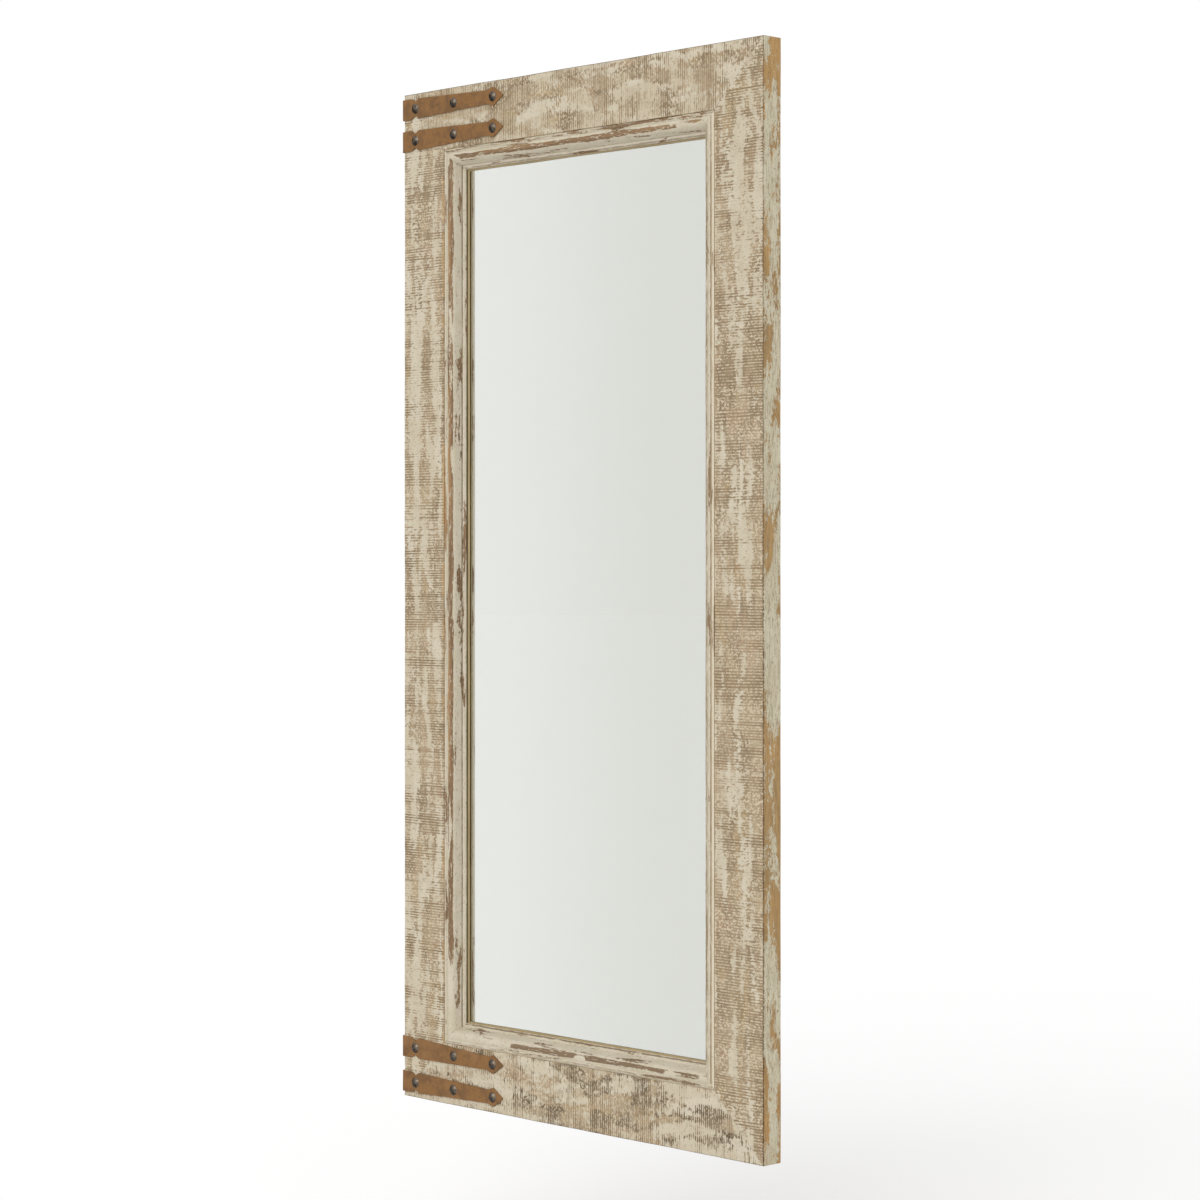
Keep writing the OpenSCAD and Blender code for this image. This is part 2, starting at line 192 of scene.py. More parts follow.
def add_piece(bm, name, material, replaced, sharp_degrees):
    """Makes the object of a finished bmesh, hangs it on the frame's body, and hides the CAD part
    that it replaces.
    """
    mesh = mesh_of(bm, name)
    mesh.set_sharp_from_angle(angle=math.radians(sharp_degrees))
    mesh.materials.append(material)
    piece = scene_object(name, mesh)
    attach(piece, "frame")
    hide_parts(replaced)
    return piece


def slice_off(bm, point, normal):
    """Cuts away what lies past a plane, and closes the cut."""
    cut = bmesh.ops.bisect_plane(
        bm, geom=bm.verts[:] + bm.edges[:] + bm.faces[:], dist=1e-7, plane_co=point,
        plane_no=normal, clear_outer=True,
    )
    rim = [part for part in cut["geom_cut"] if isinstance(part, bmesh.types.BMEdge)]
    if rim:
        bmesh.ops.contextual_create(bm, geom=rim)


def side_turn(side):
    """Turn from the left side of the frame to this one."""
    return Matrix.Rotation(math.radians(90 * SIDES.index(side)), 3, "Y")


def draw_member(bm, side, draw_outline, row_pitch, face_cuts=0):
    """Mitred length of timber, drawn as its section and cut into rows along its length.

    draw_outline draws the section in millimetres, with X across and Y deep. Its front edge is
    cut face_cuts times.
    """
    upright = side in ("left", "right")
    half_across, half_length = (HALF_W, HALF_H) if upright else (HALF_H, HALF_W)
    section = draw_outline(bm)
    if face_cuts:
        front = [edge for edge in section.edges if all(abs(v.co.y) < 1e-4 for v in edge.verts)]
        bmesh.ops.subdivide_edges(bm, edges=front, cuts=face_cuts)
    bm.faces.ensure_lookup_table()
    made = bmesh.ops.extrude_face_region(bm, geom=[bm.faces[0]])["geom"]
    length = 2 * half_length / MM
    far_end = [part for part in made if isinstance(part, bmesh.types.BMVert)]
    bmesh.ops.translate(bm, verts=far_end, vec=(0, 0, length))
    long_edges = [e for e in bm.edges if abs(e.verts[0].co.z - e.verts[1].co.z) > length / 2]
    rows = round(length / row_pitch)
    bmesh.ops.subdivide_edges(bm, edges=long_edges, cuts=rows - 1, use_grid_fill=True)
    bmesh.ops.scale(bm, verts=bm.verts[:], vec=(MM, MM, MM))
    bmesh.ops.translate(bm, verts=bm.verts[:], vec=(-half_across, FRONT_Y, -half_length))
    mitre_end = half_length - MITRE_GAP / 2 * math.sqrt(2)
    for end in (1, -1):
        slice_off(bm, (-half_across, 0, end * mitre_end), (1, 0, end))
    bmesh.ops.recalc_face_normals(bm, faces=bm.faces[:])
    bmesh.ops.rotate(bm, verts=bm.verts[:], cent=(0, 0, 0), matrix=side_turn(side))


def across_and_along(point, side):
    """Distance inward from the outer edge of this side, and place along it."""
    if side in ("left", "right"):
        return HALF_W - abs(point.x), point.z
    return HALF_H - abs(point.z), point.x


def step(value, low, high):
    """0 below low, 1 above high, and smooth between."""
    t = min(max((value - low) / (high - low), 0), 1)
    return t * t * (3 - 2 * t)


def chips(point):
    """0 to 1: how deeply the arris is chipped near this point."""
    coarse = step(noise.noise(point * 38 + Vector((3, 1, 7))), 0.05, 0.6)
    fine = step(noise.noise(point * 130 + Vector((9, 4, 2))), 0.0, 0.7)
    return 0.55 * coarse + 0.45 * fine


def age_member(bm, side, warp, chip, arrises):
    """Bends the timber by up to warp, and chips it up to chip deep along its arrises.

    Each of arrises is (across, deep, reach) in metres.
    """
    into = side_turn(side) @ Vector((1, 0, 0))
    for vert in bm.verts:
        point = vert.co.copy()
        across, _ = across_and_along(point, side)
        deep = point.y - FRONT_Y
        bend = noise.noise_vector(point * 7)
        shift = Vector((bend.x, 0, bend.z)) * warp
        for edge_across, edge_deep, reach in arrises:
            near = 1 - math.hypot(across - edge_across, deep - edge_deep) / reach
            if near > 0:
                worn = chips(point) * chip * near
                outward = -1 if edge_across > 0.05 else 1
                shift += (into * outward + Vector((0, 1, 0))) * worn * 0.7
        vert.co = point + shift


def face_board_outline(bm):
    """Section of a face board: long mitre, open seam, front face and inner arris."""
    return Pen(bm, (18, 18)).line((1.58, 1.58), (2.0, 1.157), (1.208, 0.360)).arc(
        (2.5, 2.5), 31.1, 4).line((105.8, 0)).arc((105.8, 1.2), 90, 4).line((107, 18)).fill()


def side_return_outline(bm):
    """Section of a side return: long mitre, open seam, outer face and back arris."""
    return Pen(bm, (18, 18)).line((1.58, 1.58), (1.157, 2.0), (0.360, 1.208)).arc(
        (2.5, 2.5), -31.1, 4).line((0, 12), (0, 21), (0, 31), (0, 40.8)).arc(
        (1.2, 40.8), -90, 4).line((18, 42)).fill()


def moulding_outline(bm):
    """Section of the moulding: quirk, fillet, torus, slope, root, sloping lip and rebate."""
    return Pen(bm, (107, 37)).line(
        (107, 3), (109, 3), (109, 1.5), (109.15, 1.15), (109.5, 1), (114, 1), (114.4, 1.2),
        (114.5, 2.1), (116, 2.11)).arc((122, 11.8), 100, 20).line((136.418, 17.145)).arc(
        (136.95, 17.6), -174.3, 8).line((143.949, 22.048)).arc((143.431, 22.904), 32.68, 4).line(
        (145.6, 25.05), (146.775, 27.45), (133.4, 27.45), (133.4, 37)).fill()


def saw_mark(along, across, pitch):
    """0 in the bottom of a saw mark to 1 on the ridge beside it, at a place in metres."""
    wander = noise.noise(Vector((along / 0.09, across / 0.05, 1.7)))
    slant = 0.35 * noise.noise(Vector((along / 0.3, 0.5, 4.1)))
    phase = along / pitch + 0.8 * wander + slant * across / pitch
    wave = 0.5 + 0.5 * math.sin(2 * math.pi * phase)
    bite = step(noise.noise(Vector((along / 0.0085, across / 0.011, 8.3))), -0.35, 0.35)
    patch = step(noise.noise(Vector((along / 0.05, across / 0.026, 3.9))), -0.6, 0.2)
    return 1 - (1 - wave ** 0.8) * (0.3 + 0.7 * patch) * (0.35 + 0.65 * bite)


class Value:
    """A number or colour inside a node tree. Plain arithmetic on it adds Math nodes."""

    def __init__(self, tree, socket):
        self.tree = tree
        self.socket = socket

    def __add__(self, other):
        return self.tree.math("ADD", self, other)

    def __sub__(self, other):
        return self.tree.math("SUBTRACT", self, other)

    def __rsub__(self, other):
        return self.tree.math("SUBTRACT", other, self)

    def __mul__(self, other):
        return self.tree.math("MULTIPLY", self, other)

    def __truediv__(self, other):
        return self.tree.math("DIVIDE", self, other)

    def __abs__(self):
        return self.tree.math("ABSOLUTE", self)

    __radd__ = __add__
    __rmul__ = __mul__


class Outputs:
    """A node's outputs as Values, by place or by name."""

    def __init__(self, tree, sockets):
        self.tree = tree
        self.sockets = sockets

    def __getitem__(self, key):
        return Value(self.tree, self.sockets[key])


class Tree:
    """Adds nodes to a node tree, and links them."""

    def __init__(self, tree):
        self.tree = tree

    def fill(self, made, inputs):
        """Links a node's inputs, named or by place, to Values, or sets them to constants."""
        for key, value in inputs.items():
            socket = made.inputs[key]
            if isinstance(value, Value):
                self.tree.links.new(value.socket, socket)
            elif socket.type == "RGBA" and len(value) == 3:
                socket.default_value = (*value, 1)
            else:
                socket.default_value = value

    def node(self, kind, inputs=None, **settings):
        """Adds a node with its settings and inputs, and returns its Outputs."""
        made = self.tree.nodes.new(kind)
        for name, value in settings.items():
            setattr(made, name, value)
        self.fill(made, inputs or {})
        return Outputs(self, made.outputs)

    def math(self, operation, first, second=0.0):
        """Result of a Math node."""
        return self.node("ShaderNodeMath", {0: first, 1: second}, operation=operation)[0]

    def scaled(self, vector, scale, offset=(0, 0, 0)):
        """The vector times a scale, plus an offset, part by part."""
        inputs = {0: vector, 1: scale, 2: offset}
        return self.node("ShaderNodeVectorMath", inputs, operation="MULTIPLY_ADD")[0]

    def split(self, vector):
        """The three parts of a vector."""
        return self.node("ShaderNodeSeparateXYZ", {0: vector})

    def joined(self, first, second, third):
        """Vector of three parts."""
        return self.node("ShaderNodeCombineXYZ", {0: first, 1: second, 2: third})[0]

    def mix(self, factor, first, second, blend="MIX"):
        """Mixed colour."""
        inputs = {0: factor, 6: first, 7: second}
        return self.node("ShaderNodeMix", inputs, data_type="RGBA", blend_type=blend)[2]

    def stain(self, shade, mask, strength, colour):
        """The shade with a colour laid over it, as strongly as the mask and the strength say."""
        return self.mix(mask * strength, shade, colour)

    def blend(self, factor, first, second):
        """Mixed value."""
        return self.node("ShaderNodeMix", {0: factor, 2: first, 3: second}, data_type="FLOAT")[0]

    def step(self, value, low, high):
        """0 where the value is under low, 1 where it is over high, and smooth between."""
        inputs = {0: value, 1: low, 2: high}
        return self.node("ShaderNodeMapRange", inputs, interpolation_type="SMOOTHSTEP")[0]

    def noise(self, vector, scale, detail=2, roughness=0.5, distortion=0, offset=(0, 0, 0)):
        """Noise, mostly between 0.3 and 0.7. The scale is one number or one for each axis."""
        if isinstance(scale, tuple):
            vector = self.scaled(vector, scale, offset)
            scale = 1
        return self.node("ShaderNodeTexNoise", {
            "Vector": vector, "Scale": scale, "Detail": detail, "Roughness": roughness,
            "Distortion": distortion,
        })[0]

    def ramp(self, value, stops):
        """Value along stops of (place, value) with straight lines between."""
        made = self.tree.nodes.new("ShaderNodeValToRGB")
        points = made.color_ramp.elements
        while len(points) < len(stops):
            points.new(0.5)
        for point, (place, shade) in zip(points, stops):
            point.position = place
            point.color = (shade, shade, shade, 1)
        self.fill(made, {0: value})
        return Value(self, made.outputs[0])

    def group(self, name, **inputs):
        """Adds a shared node group. An input's name is written with _ for each space."""
        values = {key.replace("_", " "): value for key, value in inputs.items()}
        return self.node("ShaderNodeGroup", values, node_tree=shared(name))


def paint_wear(tree, given):
    """Where the paint has gone: large patches with ragged rims, and nicks between them.

    Wear is the share that is bare. Relief is high where rubbing reaches first.
    """
    broad = tree.noise(given["Vector"], 1, 1.5, 0.5, 0.4)
    fine_vector = given["Fine Vector"]
    coarse = tree.noise(fine_vector, 1, 4, 0.66)
    ragged = coarse * 0.7 + tree.noise(fine_vector, 3.5, 3, 0.65) * 0.3
    height = tree.blend(given["Raggedness"], broad, ragged)
    height = height + (given["Relief"] - 0.5) * given["Relief Share"]
    # The spread of the noise is narrow, so the share is scaled to it
    over = height + (given["Wear"] - 0.5) * 0.2 - 0.5
    soft = given["Softness"]
    patch = tree.step(over, soft * -1, soft)
    flecks = tree.noise(fine_vector, (2.2, 2.2, 2.2), 2, 0.55, offset=(5.94, 20.02, 9.24))
    level = 0.86 - given["Nicks"] * 0.22
    nick = tree.step(over * 0.9 + flecks, level, level + 0.025)
    return {"Bare": tree.math("MAXIMUM", patch, nick), "Thin": tree.step(over, -0.075, 0.02)}


def wood_grain(tree, given):
    """Long fibres and growth rings of planed or sawn wood."""
    rings = tree.noise(given["Vector"], (3, 75, 60), 3, 0.6, 0.6)
    fibre = tree.noise(given["Vector"], (24, 800, 700), 3, 0.6)
    cloud = tree.noise(given["Vector"], (9, 22, 22))
    spread = tree.step(rings * 0.5 + fibre * 0.35 + cloud * 0.15, 0.37, 0.63)
    shade = tree.stain(given["Pale"], spread, given["Contrast"], given["Dark"])
    return {"Color": shade, "Fibre": fibre}


def cracks(tree, given):
    """Thin cracks that run with the grain, where a patchy mask lets them."""
    away = abs(tree.noise(given["Vector"], 1, 2, 0.5, 0.6) - 0.5)
    line = tree.step(away, given["Width"], given["Width"] * 0.3)
    where = tree.noise(given["Vector"], (0.9, 0.25, 0.25), 3, offset=(5, 2, 8))
    low = 0.65 - given["Amount"] * 0.3
    return {"Mask": line * tree.step(where, low, low + 0.06)}


def saw_marks(tree, given):
    """Saw marks across the grain, for wood whose mesh has none."""
    wander = tree.noise(given["Vector"], (11, 18, 18), 1)
    phase = tree.split(given["Vector"])[0] / given["Pitch"] + wander * 5
    wave = tree.math("SINE", phase * (2 * math.pi))
    return {"Height": (wave * 0.5 + 0.5) * tree.noise(given["Vector"], (30, 60, 60))}


def dust(tree, given):
    """Pale dust that lies in soft clouds."""
    cloud = tree.step(tree.noise(given["Vector"], (14, 14, 14), 5, 0.65), 0.42, 0.66)
    return {"Color": tree.stain(given["Color"], cloud, given["Amount"], (0.62, 0.58, 0.50))}


# Each node group's maker and inputs. An input is a number or a colour, or a vector where None.
MAKERS = {
    "Paint Wear": (paint_wear, {
        "Vector": None, "Fine Vector": None, "Wear": 0.5, "Relief": 0.5, "Relief Share": 0.1,
        "Raggedness": 0.3, "Softness": 0.02, "Nicks": 0.5}),
    "Wood Grain": (wood_grain, {
        "Vector": None, "Pale": (0.5, 0.4, 0.3, 1), "Dark": (0.3, 0.2, 0.1, 1), "Contrast": 0.6}),
    "Cracks": (cracks, {"Vector": None, "Width": 0.012, "Amount": 0.5}),
    "Saw Marks": (saw_marks, {"Vector": None, "Pitch": 0.0046}),
    "Dust": (dust, {"Vector": None, "Color": (0.5, 0.5, 0.5, 1), "Amount": 0.3}),
}
GROUPS = {}


def add_socket(group, name, way, value):
    """New socket of a node group, of the kind that suits the value."""
    kind = "Vector" if value is None else "Color" if name in ("Color", "Pale", "Dark") else "Float"
    socket = group.interface.new_socket(name=name, in_out=way, socket_type=f"NodeSocket{kind}")
    if way == "INPUT" and value is not None:
        socket.default_value = value


def shared(name):
    """The named shader node group, made at its first use."""
    if name not in GROUPS:
        make, inputs = MAKERS[name]
        group = bpy.data.node_groups.new(name, "ShaderNodeTree")
        for label, value in inputs.items():
            add_socket(group, label, "INPUT", value)
        tree = Tree(group)
        results = make(tree, tree.node("NodeGroupInput"))
        for label, value in results.items():
            add_socket(group, label, "OUTPUT", value)
        tree.fill(group.nodes.new("NodeGroupOutput"), results)
        GROUPS[name] = group
    return GROUPS[name]


def new_material(name):
    """Empty material and its Tree."""
    material = bpy.data.materials.new(name)
    material.use_nodes = True
    return material, Tree(material.node_tree)


def set_surface(tree, inputs):
    """Sets or links inputs of the material's Principled BSDF."""
    tree.fill(tree.tree.nodes["Principled BSDF"], inputs)


def finish_surface(tree, shade, roughness, height, distance, metallic=0.0, gloss=0.5):
    """Links a material's looks to its Principled BSDF."""
    bump = tree.node("ShaderNodeBump", {"Strength": 1, "Distance": distance, "Height": height})
    set_surface(tree, {
        "Base Color": shade, "Roughness": roughness, "Metallic": metallic,
        "Specular IOR Level": gloss, "Normal": bump[0],
    })


def object_place(tree):
    """Object coordinates as a vector, and their three parts."""
    place = tree.node("ShaderNodeTexCoord")["Object"]
    return place, tree.split(place)


def frame_place(tree):
    """Place on the mitred frame: (along, across, deep) vector, across, deep, part along, mitre.

    Across is the distance in from the nearest outer edge, so the change from upright to rail
    falls on the mitres. Part along runs from 0 to 1, bottom to top or left to right. Mitre is
    the distance from the nearest mitre.
    """
    _, part = object_place(tree)
    from_side = HALF_W - abs(part[0])
    from_end = HALF_H - abs(part[2])
    rail = tree.math("LESS_THAN", from_end, from_side)
    along = tree.blend(rail, part[2], part[0])
    vector = tree.joined(along, tree.blend(rail, part[0], part[2]), part[1])
    across = tree.math("MINIMUM", from_side, from_end)
    portion = along / tree.blend(rail, HALF_H, HALF_W) * 0.5 + 0.5
    return vector, across, part[1] - FRONT_Y, portion, abs(from_side - from_end)


def sawn_paint(side, look, colours):
    """Worn off-white paint on rough-sawn wood, combed across the grain by the saw marks."""
    material, tree = new_material(f"{side.capitalize()} sawn paint")
    vector, across, _, portion, mitre = frame_place(tree)
    saw = tree.node("ShaderNodeAttribute", attribute_name="saw_marks")["Fac"]
    strokes = tree.scaled(vector, (190, 95, 60))
    # The brush has missed the bottoms of the saw marks
    comb = tree.noise(strokes, 1, 3, 0.6) * 1.2 + (0.5 - saw) * look["comb"]
    amount = tree.ramp(portion, look["along"]) + tree.ramp(across / BOARD_W, look["across"])
    amount = amount + (look["wear"] - 1) - tree.step(mitre, 0.016, 0.002) * 0.3
    worn = tree.group(
        "Paint Wear", Vector=tree.scaled(vector, look["patch"]), Fine_Vector=strokes,
        Wear=amount, Relief=comb, Relief_Share=0.25, Raggedness=0.28, Softness=0.007, Nicks=0.5,
    )
    wood = tree.group("Wood Grain", Vector=vector, Pale=colours.tan_wood,
                      Dark=colours.sawn_wood, Contrast=0.9)["Color"]
    streak = tree.noise(vector, (14, 46, 30), 3, 0.6)
    wood = tree.stain(wood, tree.step(streak, 0.5, 0.62), 0.8, tone(148, 128, 100))
    blush = tree.noise(vector, (9, 24, 16), offset=(3, 5, 1))
    wood = tree.stain(wood, tree.step(blush, 0.5, 0.64), 0.35, tone(178, 150, 124))
    wood = tree.stain(wood, tree.step(blush, 0.46, 0.36), 0.45, tone(176, 150, 110))
    taupe = tree.noise(vector, (17, 38, 30), 2.5, 0.55, offset=(6, 2, 7))
    wood = tree.stain(wood, tree.step(taupe, 0.44, 0.56), look["taupe"], tone(102, 87, 68))
    where = tree.step(tree.noise(vector, (20, 44, 30), 2, 0.6, offset=(8, 1, 2)), 0.4, 0.58)
    low = tree.step(saw, 0.62, 0.2) * (where * 0.6 + 0.4)
    wood = tree.stain(wood, low, look["cut"], colours.groove)
    dash = tree.noise(vector, (260, 190, 60), 2, 0.6, offset=(4, 4, 4))
    dash = tree.step(dash, 0.48, 0.56) * tree.step(saw, 0.55, 0.9)
    wood = tree.stain(wood, dash, 0.95, tone(208, 194, 168))
    tired = tree.step(tree.noise(vector, 30, 4, 0.6), 0.4, 0.68)
    paint = tree.mix(tired, colours.paint, tone(200, 188, 164))
    paint = tree.stain(paint, worn["Thin"], 0.4, colours.thin_paint)
    shade = tree.mix(worn["Bare"], paint, wood)
    # Where the paint is rubbed thin, the wood shows through and the saw marks stand out in it
    thin = tree.noise(vector, look["thin"], 3, 0.6, 0.4, offset=(6, 3, 2))
    thin = tree.step(thin, 0.44, 0.56) * look["veil"]
    shade = tree.stain(shade, thin, 0.5, tone(170, 150, 122))
    shade = tree.stain(shade, thin * tree.step(saw, 0.72, 0.92), 0.75, tone(206, 194, 168))
    shade = tree.stain(shade, thin * tree.step(saw, 0.5, 0.28), 0.5, tone(132, 110, 80))
    # Rows of short dashes that the brush has missed
    miss = tree.step(tree.noise(vector, look["dashes"], 3, 0.62, offset=(1, 8, 2)), 0.47, 0.52)
    rows = tree.step(tree.noise(vector, (12, 75, 40), 3, 0.6, offset=(5, 1, 7)), 0.46, 0.53)
    miss = miss * tree.step(saw, 0.6, 0.3) * rows
    shade = tree.stain(shade, miss, 0.85, look["dash_tone"])
    speck = tree.noise(vector, (360, 210, 200), 2, 0.6, offset=(3, 1, 9))
    shade = tree.stain(shade, tree.step(speck, 0.6, 0.66), 0.6, tone(136, 116, 88))
    rim = tree.step(across, 0.010, 0.002) * tree.step(saw, 0.55, 0.15)
    shade = tree.stain(shade, rim, 0.8, colours.groove)
    # A line of fresh ochre wood shows along the arris next to the moulding
    fresh = tree.step(tree.noise(vector, (9, 6, 6), 3, 0.6, offset=(2, 9, 4)), 0.46, 0.54)
    fresh = fresh * tree.step(across, 0.1048, 0.1056)
    shade = tree.stain(shade, fresh, look["ochre"], tone(204, 162, 104))
    height = tree.noise(vector, (700, 240, 400), 3, 0.65) * 0.35 - worn["Bare"] * 0.55 + saw * 0.5
    finish_surface(tree, shade, tree.blend(worn["Bare"], 0.66, 0.84), height, 0.00025,
                   gloss=CHALKY)
    return material


def side_paint(side, stops, colours):
    """Smooth paint on planed wood, with flakes and cracks down the length."""
    material, tree = new_material(f"{side.capitalize()} side paint")
    vector, _, deep, portion, _ = frame_place(tree)
    amount = tree.ramp(portion, stops) - 0.22 + tree.step(deep, 0.025, 0.042) * 0.22
    worn = tree.group(
        "Paint Wear", Vector=tree.scaled(vector, (12, 40, 46)),
        Fine_Vector=tree.scaled(vector, (105, 200, 240)), Wear=amount, Relief=0.5,
        Relief_Share=0.0, Raggedness=0.5, Softness=0.007, Nicks=1.0,
    )
    wood = tree.group("Wood Grain", Vector=vector, Pale=colours.side_wood,
                      Dark=tone(142, 116, 78), Contrast=0.9)
    warm = tree.step(tree.noise(vector, 5), 0.48, 0.6) * 0.15
    ends = tree.step(abs(portion - 0.5), 0.36, 0.46) * 0.35
    bare = tree.mix(tree.math("MAXIMUM", warm, ends), wood["Color"], tone(200, 154, 94))
    tired = tree.step(tree.noise(vector, 24, 4, 0.6), 0.42, 0.66)
    paint = tree.mix(tired, tone(203, 195, 170), tone(195, 185, 158))
    paint = tree.stain(paint, worn["Thin"], 0.3, colours.thin_paint)
    shade = tree.mix(worn["Bare"], paint, bare)
    crack = tree.group("Cracks", Vector=tree.scaled(vector, (26, 300, 330)), Width=0.03,
                       Amount=0.9)["Mask"]
    shade = tree.stain(shade, crack, 0.7, tone(134, 110, 78))
    speck = tree.step(tree.noise(vector, (230, 330, 330), 2, 0.6), 0.62, 0.67)
    shade = tree.stain(shade, speck, 0.55, tone(140, 118, 84))
    tooth = tree.step(tree.noise(vector, (300, 60, 60), 2, 0.6, offset=(5, 5, 5)), 0.42, 0.62)
    seam = tree.step(deep - tooth * 0.0016, 0.0022, 0.0010)
    seam_strength = tree.blend(tree.step(portion, 0.66, 0.5), 0.5, 0.85)
    shade = tree.stain(shade, seam, seam_strength, tone(112, 88, 62))
    height = wood["Fibre"] * 0.18 - worn["Bare"] * 0.7 - crack * 0.6
    finish_surface(tree, shade, tree.blend(worn["Bare"], 0.56, 0.76), height, 0.00025,
                   gloss=CHALKY)
    return material


def moulding_paint(side, look, colours):
    """Paint on the moulding, worn through along the crest, the fillet and the sight edge."""
    material, tree = new_material(f"{side.capitalize()} moulding paint")
    vector, across, deep, portion, mitre = frame_place(tree)
    wander = tree.noise(vector, (60, 260, 260), 3, 0.6, offset=(7, 3, 1))
    wander = (wander - 0.5) * 0.003 + across

    def band(centre, half, fade, place=across):
        """1 within half of a line along the moulding, fading to 0 past it."""
        return tree.step(abs(place - centre), half + fade, half - fade)

    amount = band(*look["crest"], 0.0014) * tree.ramp(portion, look["along"])
    amount = amount + band(0.1102, 0.0034, 0.001) * look["fillet"] + look["wear"]
    amount = amount + band(0.1354, 0.0012, 0.0005) * look["foot"]
    amount = amount - tree.step(mitre, 0.024, 0.008) * 0.5
    worn = tree.group(
        "Paint Wear", Vector=tree.scaled(vector, look["patch"]),
        Fine_Vector=tree.scaled(vector, (105, 330, 240)), Wear=amount, Relief=0.5,
        Relief_Share=0.0, Raggedness=0.36, Softness=0.008, Nicks=0.5,
    )
    left_on = tree.noise(vector, (75, 460, 330), 3, 0.6, offset=(2, 6, 1))
    bare_mask = worn["Bare"] * tree.blend(tree.step(left_on, 0.585, 0.615), 1.0, 0.15)
    wood = tree.group("Wood Grain", Vector=vector, Pale=colours.mould_wood,
                      Dark=tone(112, 88, 62), Contrast=0.95)
    glow = tree.step(tree.noise(vector, (4, 20, 20)), 0.44, 0.56)
    glow = glow * tree.step(across, 0.1262, 0.1238)
    bare = tree.stain(wood["Color"], glow, look["warmth"], tone(176, 134, 86))
    bare = tree.mix(look["taupe"], bare, tone(128, 109, 88))
    tired = tree.step(tree.noise(vector, 26, 4, 0.6), 0.42, 0.66)
    paint = tree.mix(tired, colours.paint, tone(200, 190, 166))
    paint = tree.stain(paint, worn["Thin"], 0.2, colours.thin_paint)
    # Painted light: the hollow is painted paler where the moulding faces down and gets less light
    painted_light_hollow = tree.step(across, 0.1285, 0.1325)
    paint = tree.stain(paint, painted_light_hollow, look["lift"], tone(246, 236, 212))
    shade = tree.mix(bare_mask, paint, bare)
    crack = tree.group("Cracks", Vector=tree.scaled(vector, (20, 330, 260)), Width=0.018,
                       Amount=0.3)["Mask"]
    shade = tree.stain(shade, crack, 0.5, tone(134, 112, 82))
    speck = tree.step(tree.noise(vector, (200, 380, 330), 2, 0.6), 0.62, 0.67)
    shade = tree.stain(shade, speck, 0.55, tone(140, 118, 90))
    broken = tree.noise(vector, (48, 330, 240), 4, 0.65, offset=(4, 2, 5))
    fillet = band(0.1112, 0.0014, 0.0006, wander) * tree.step(broken, 0.42, 0.48)
    shade = tree.stain(shade, fillet, look["fillet_line"], tone(126, 100, 70))
    seat = tree.blend(tree.step(broken, 0.36, 0.44), 0.5, 1.0)
    seat = seat * band(0.1163, 0.0012, 0.0006, wander)
    shade = tree.stain(shade, seat, look["seat"], tone(150, 129, 100))
    # Painted highlight: a pale line along the fillet's edge
    edging = band(0.1106, 0.0012, 0.0006)
    shade = tree.stain(shade, edging, look["edging"], tone(232, 219, 192))
    # A darker band over the crest and the top of the slope, broken up by noise
    darker_band = tree.step(across, 0.1180, 0.1260) * tree.step(across, 0.1330, 0.1300)
    darker_band = darker_band * tree.step(broken, 0.34, 0.58)
    shade = tree.stain(shade, darker_band, look["seat"], tone(150, 136, 110))
    root = tree.blend(tree.step(broken, 0.42, 0.56), 0.6, 1.0)
    root = root * band(0.13695, 0.0008, 0.0003) * tree.step(deep, 0.0165, 0.0172)
    shade = tree.stain(shade, root, look["root"], tone(104, 84, 58))
    sight = band(0.1421, 0.0012, 0.0004, wander) * tree.step(broken, 0.37, 0.42)
    shade = tree.stain(shade, sight, look["sight"], tone(116, 92, 66))
    olive = tree.group("Wood Grain", Vector=vector, Pale=tone(192, 172, 128),
                       Dark=tone(162, 141, 98), Contrast=0.9)["Color"]
    # Painted light: the sight wall is painted paler where the moulding faces down
    olive = tree.mix(look["lift"], olive, tone(240, 218, 176))
    wall = tree.step(across, 0.1441, 0.1445) * tree.step(deep, 0.0223, 0.0227)
    shade = tree.mix(wall, shade, olive)
    # Painted shade: a near-black line on the sight wall just under the lip's arris
    edge = tree.step(across, 0.1434, 0.1438) * tree.step(deep, 0.0252, 0.0232)
    shade = tree.stain(shade, edge, look["edge"], tone(74, 60, 40))
    height = wood["Fibre"] * 0.15 - bare_mask * 0.7
    finish_surface(tree, shade, tree.blend(bare_mask, 0.55, 0.72), height, 0.00025,
                   gloss=CHALKY)
    return material


def raw_wood(name, upright, colours):
    """Sawn pine of the butt-jointed frame at the back, with fine grain and a little dust."""
    material, tree = new_material(name)
    _, part = object_place(tree)
    along, other = (2, 0) if upright else (0, 2)
    vector = tree.joined(part[along], part[other], part[1])
    wood = tree.group("Wood Grain", Vector=vector, Pale=colours.pine, Dark=tone(176, 132, 82),
                      Contrast=0.85)
    saw = tree.group("Saw Marks", Vector=vector, Pitch=0.0046)["Height"]
    shade = tree.group("Dust", Vector=vector, Color=wood["Color"], Amount=0.12)["Color"]
    finish_surface(tree, shade, 0.74, saw * 0.8 + wood["Fibre"], 0.0002)
    return material


def pressed_board(name, pale, dark, grid):
    """Hardboard or card: short fibres pressed flat, in a faint screen pattern where gridded."""
    material, tree = new_material(name)
    place, part = object_place(tree)
    flecks = tree.noise(place, 900, 3, 0.7)
    shade = tree.mix(tree.step(flecks, 0.38, 0.62), pale, dark)
    cloud = tree.noise(place, 5, 4, 0.6)
    shade = tree.stain(shade, tree.step(cloud, 0.38, 0.66), 0.25, dark)
    height = flecks
    if grid:
        weave = [tree.math("SINE", part[k] * (2 * math.pi / grid)) for k in (0, 2)]
        height = weave[0] * weave[1] * 0.4 + flecks
    shade = tree.group("Dust", Vector=place, Color=shade, Amount=0.07)["Color"]
    finish_surface(tree, shade, 0.66, height, 0.00012)
    return material


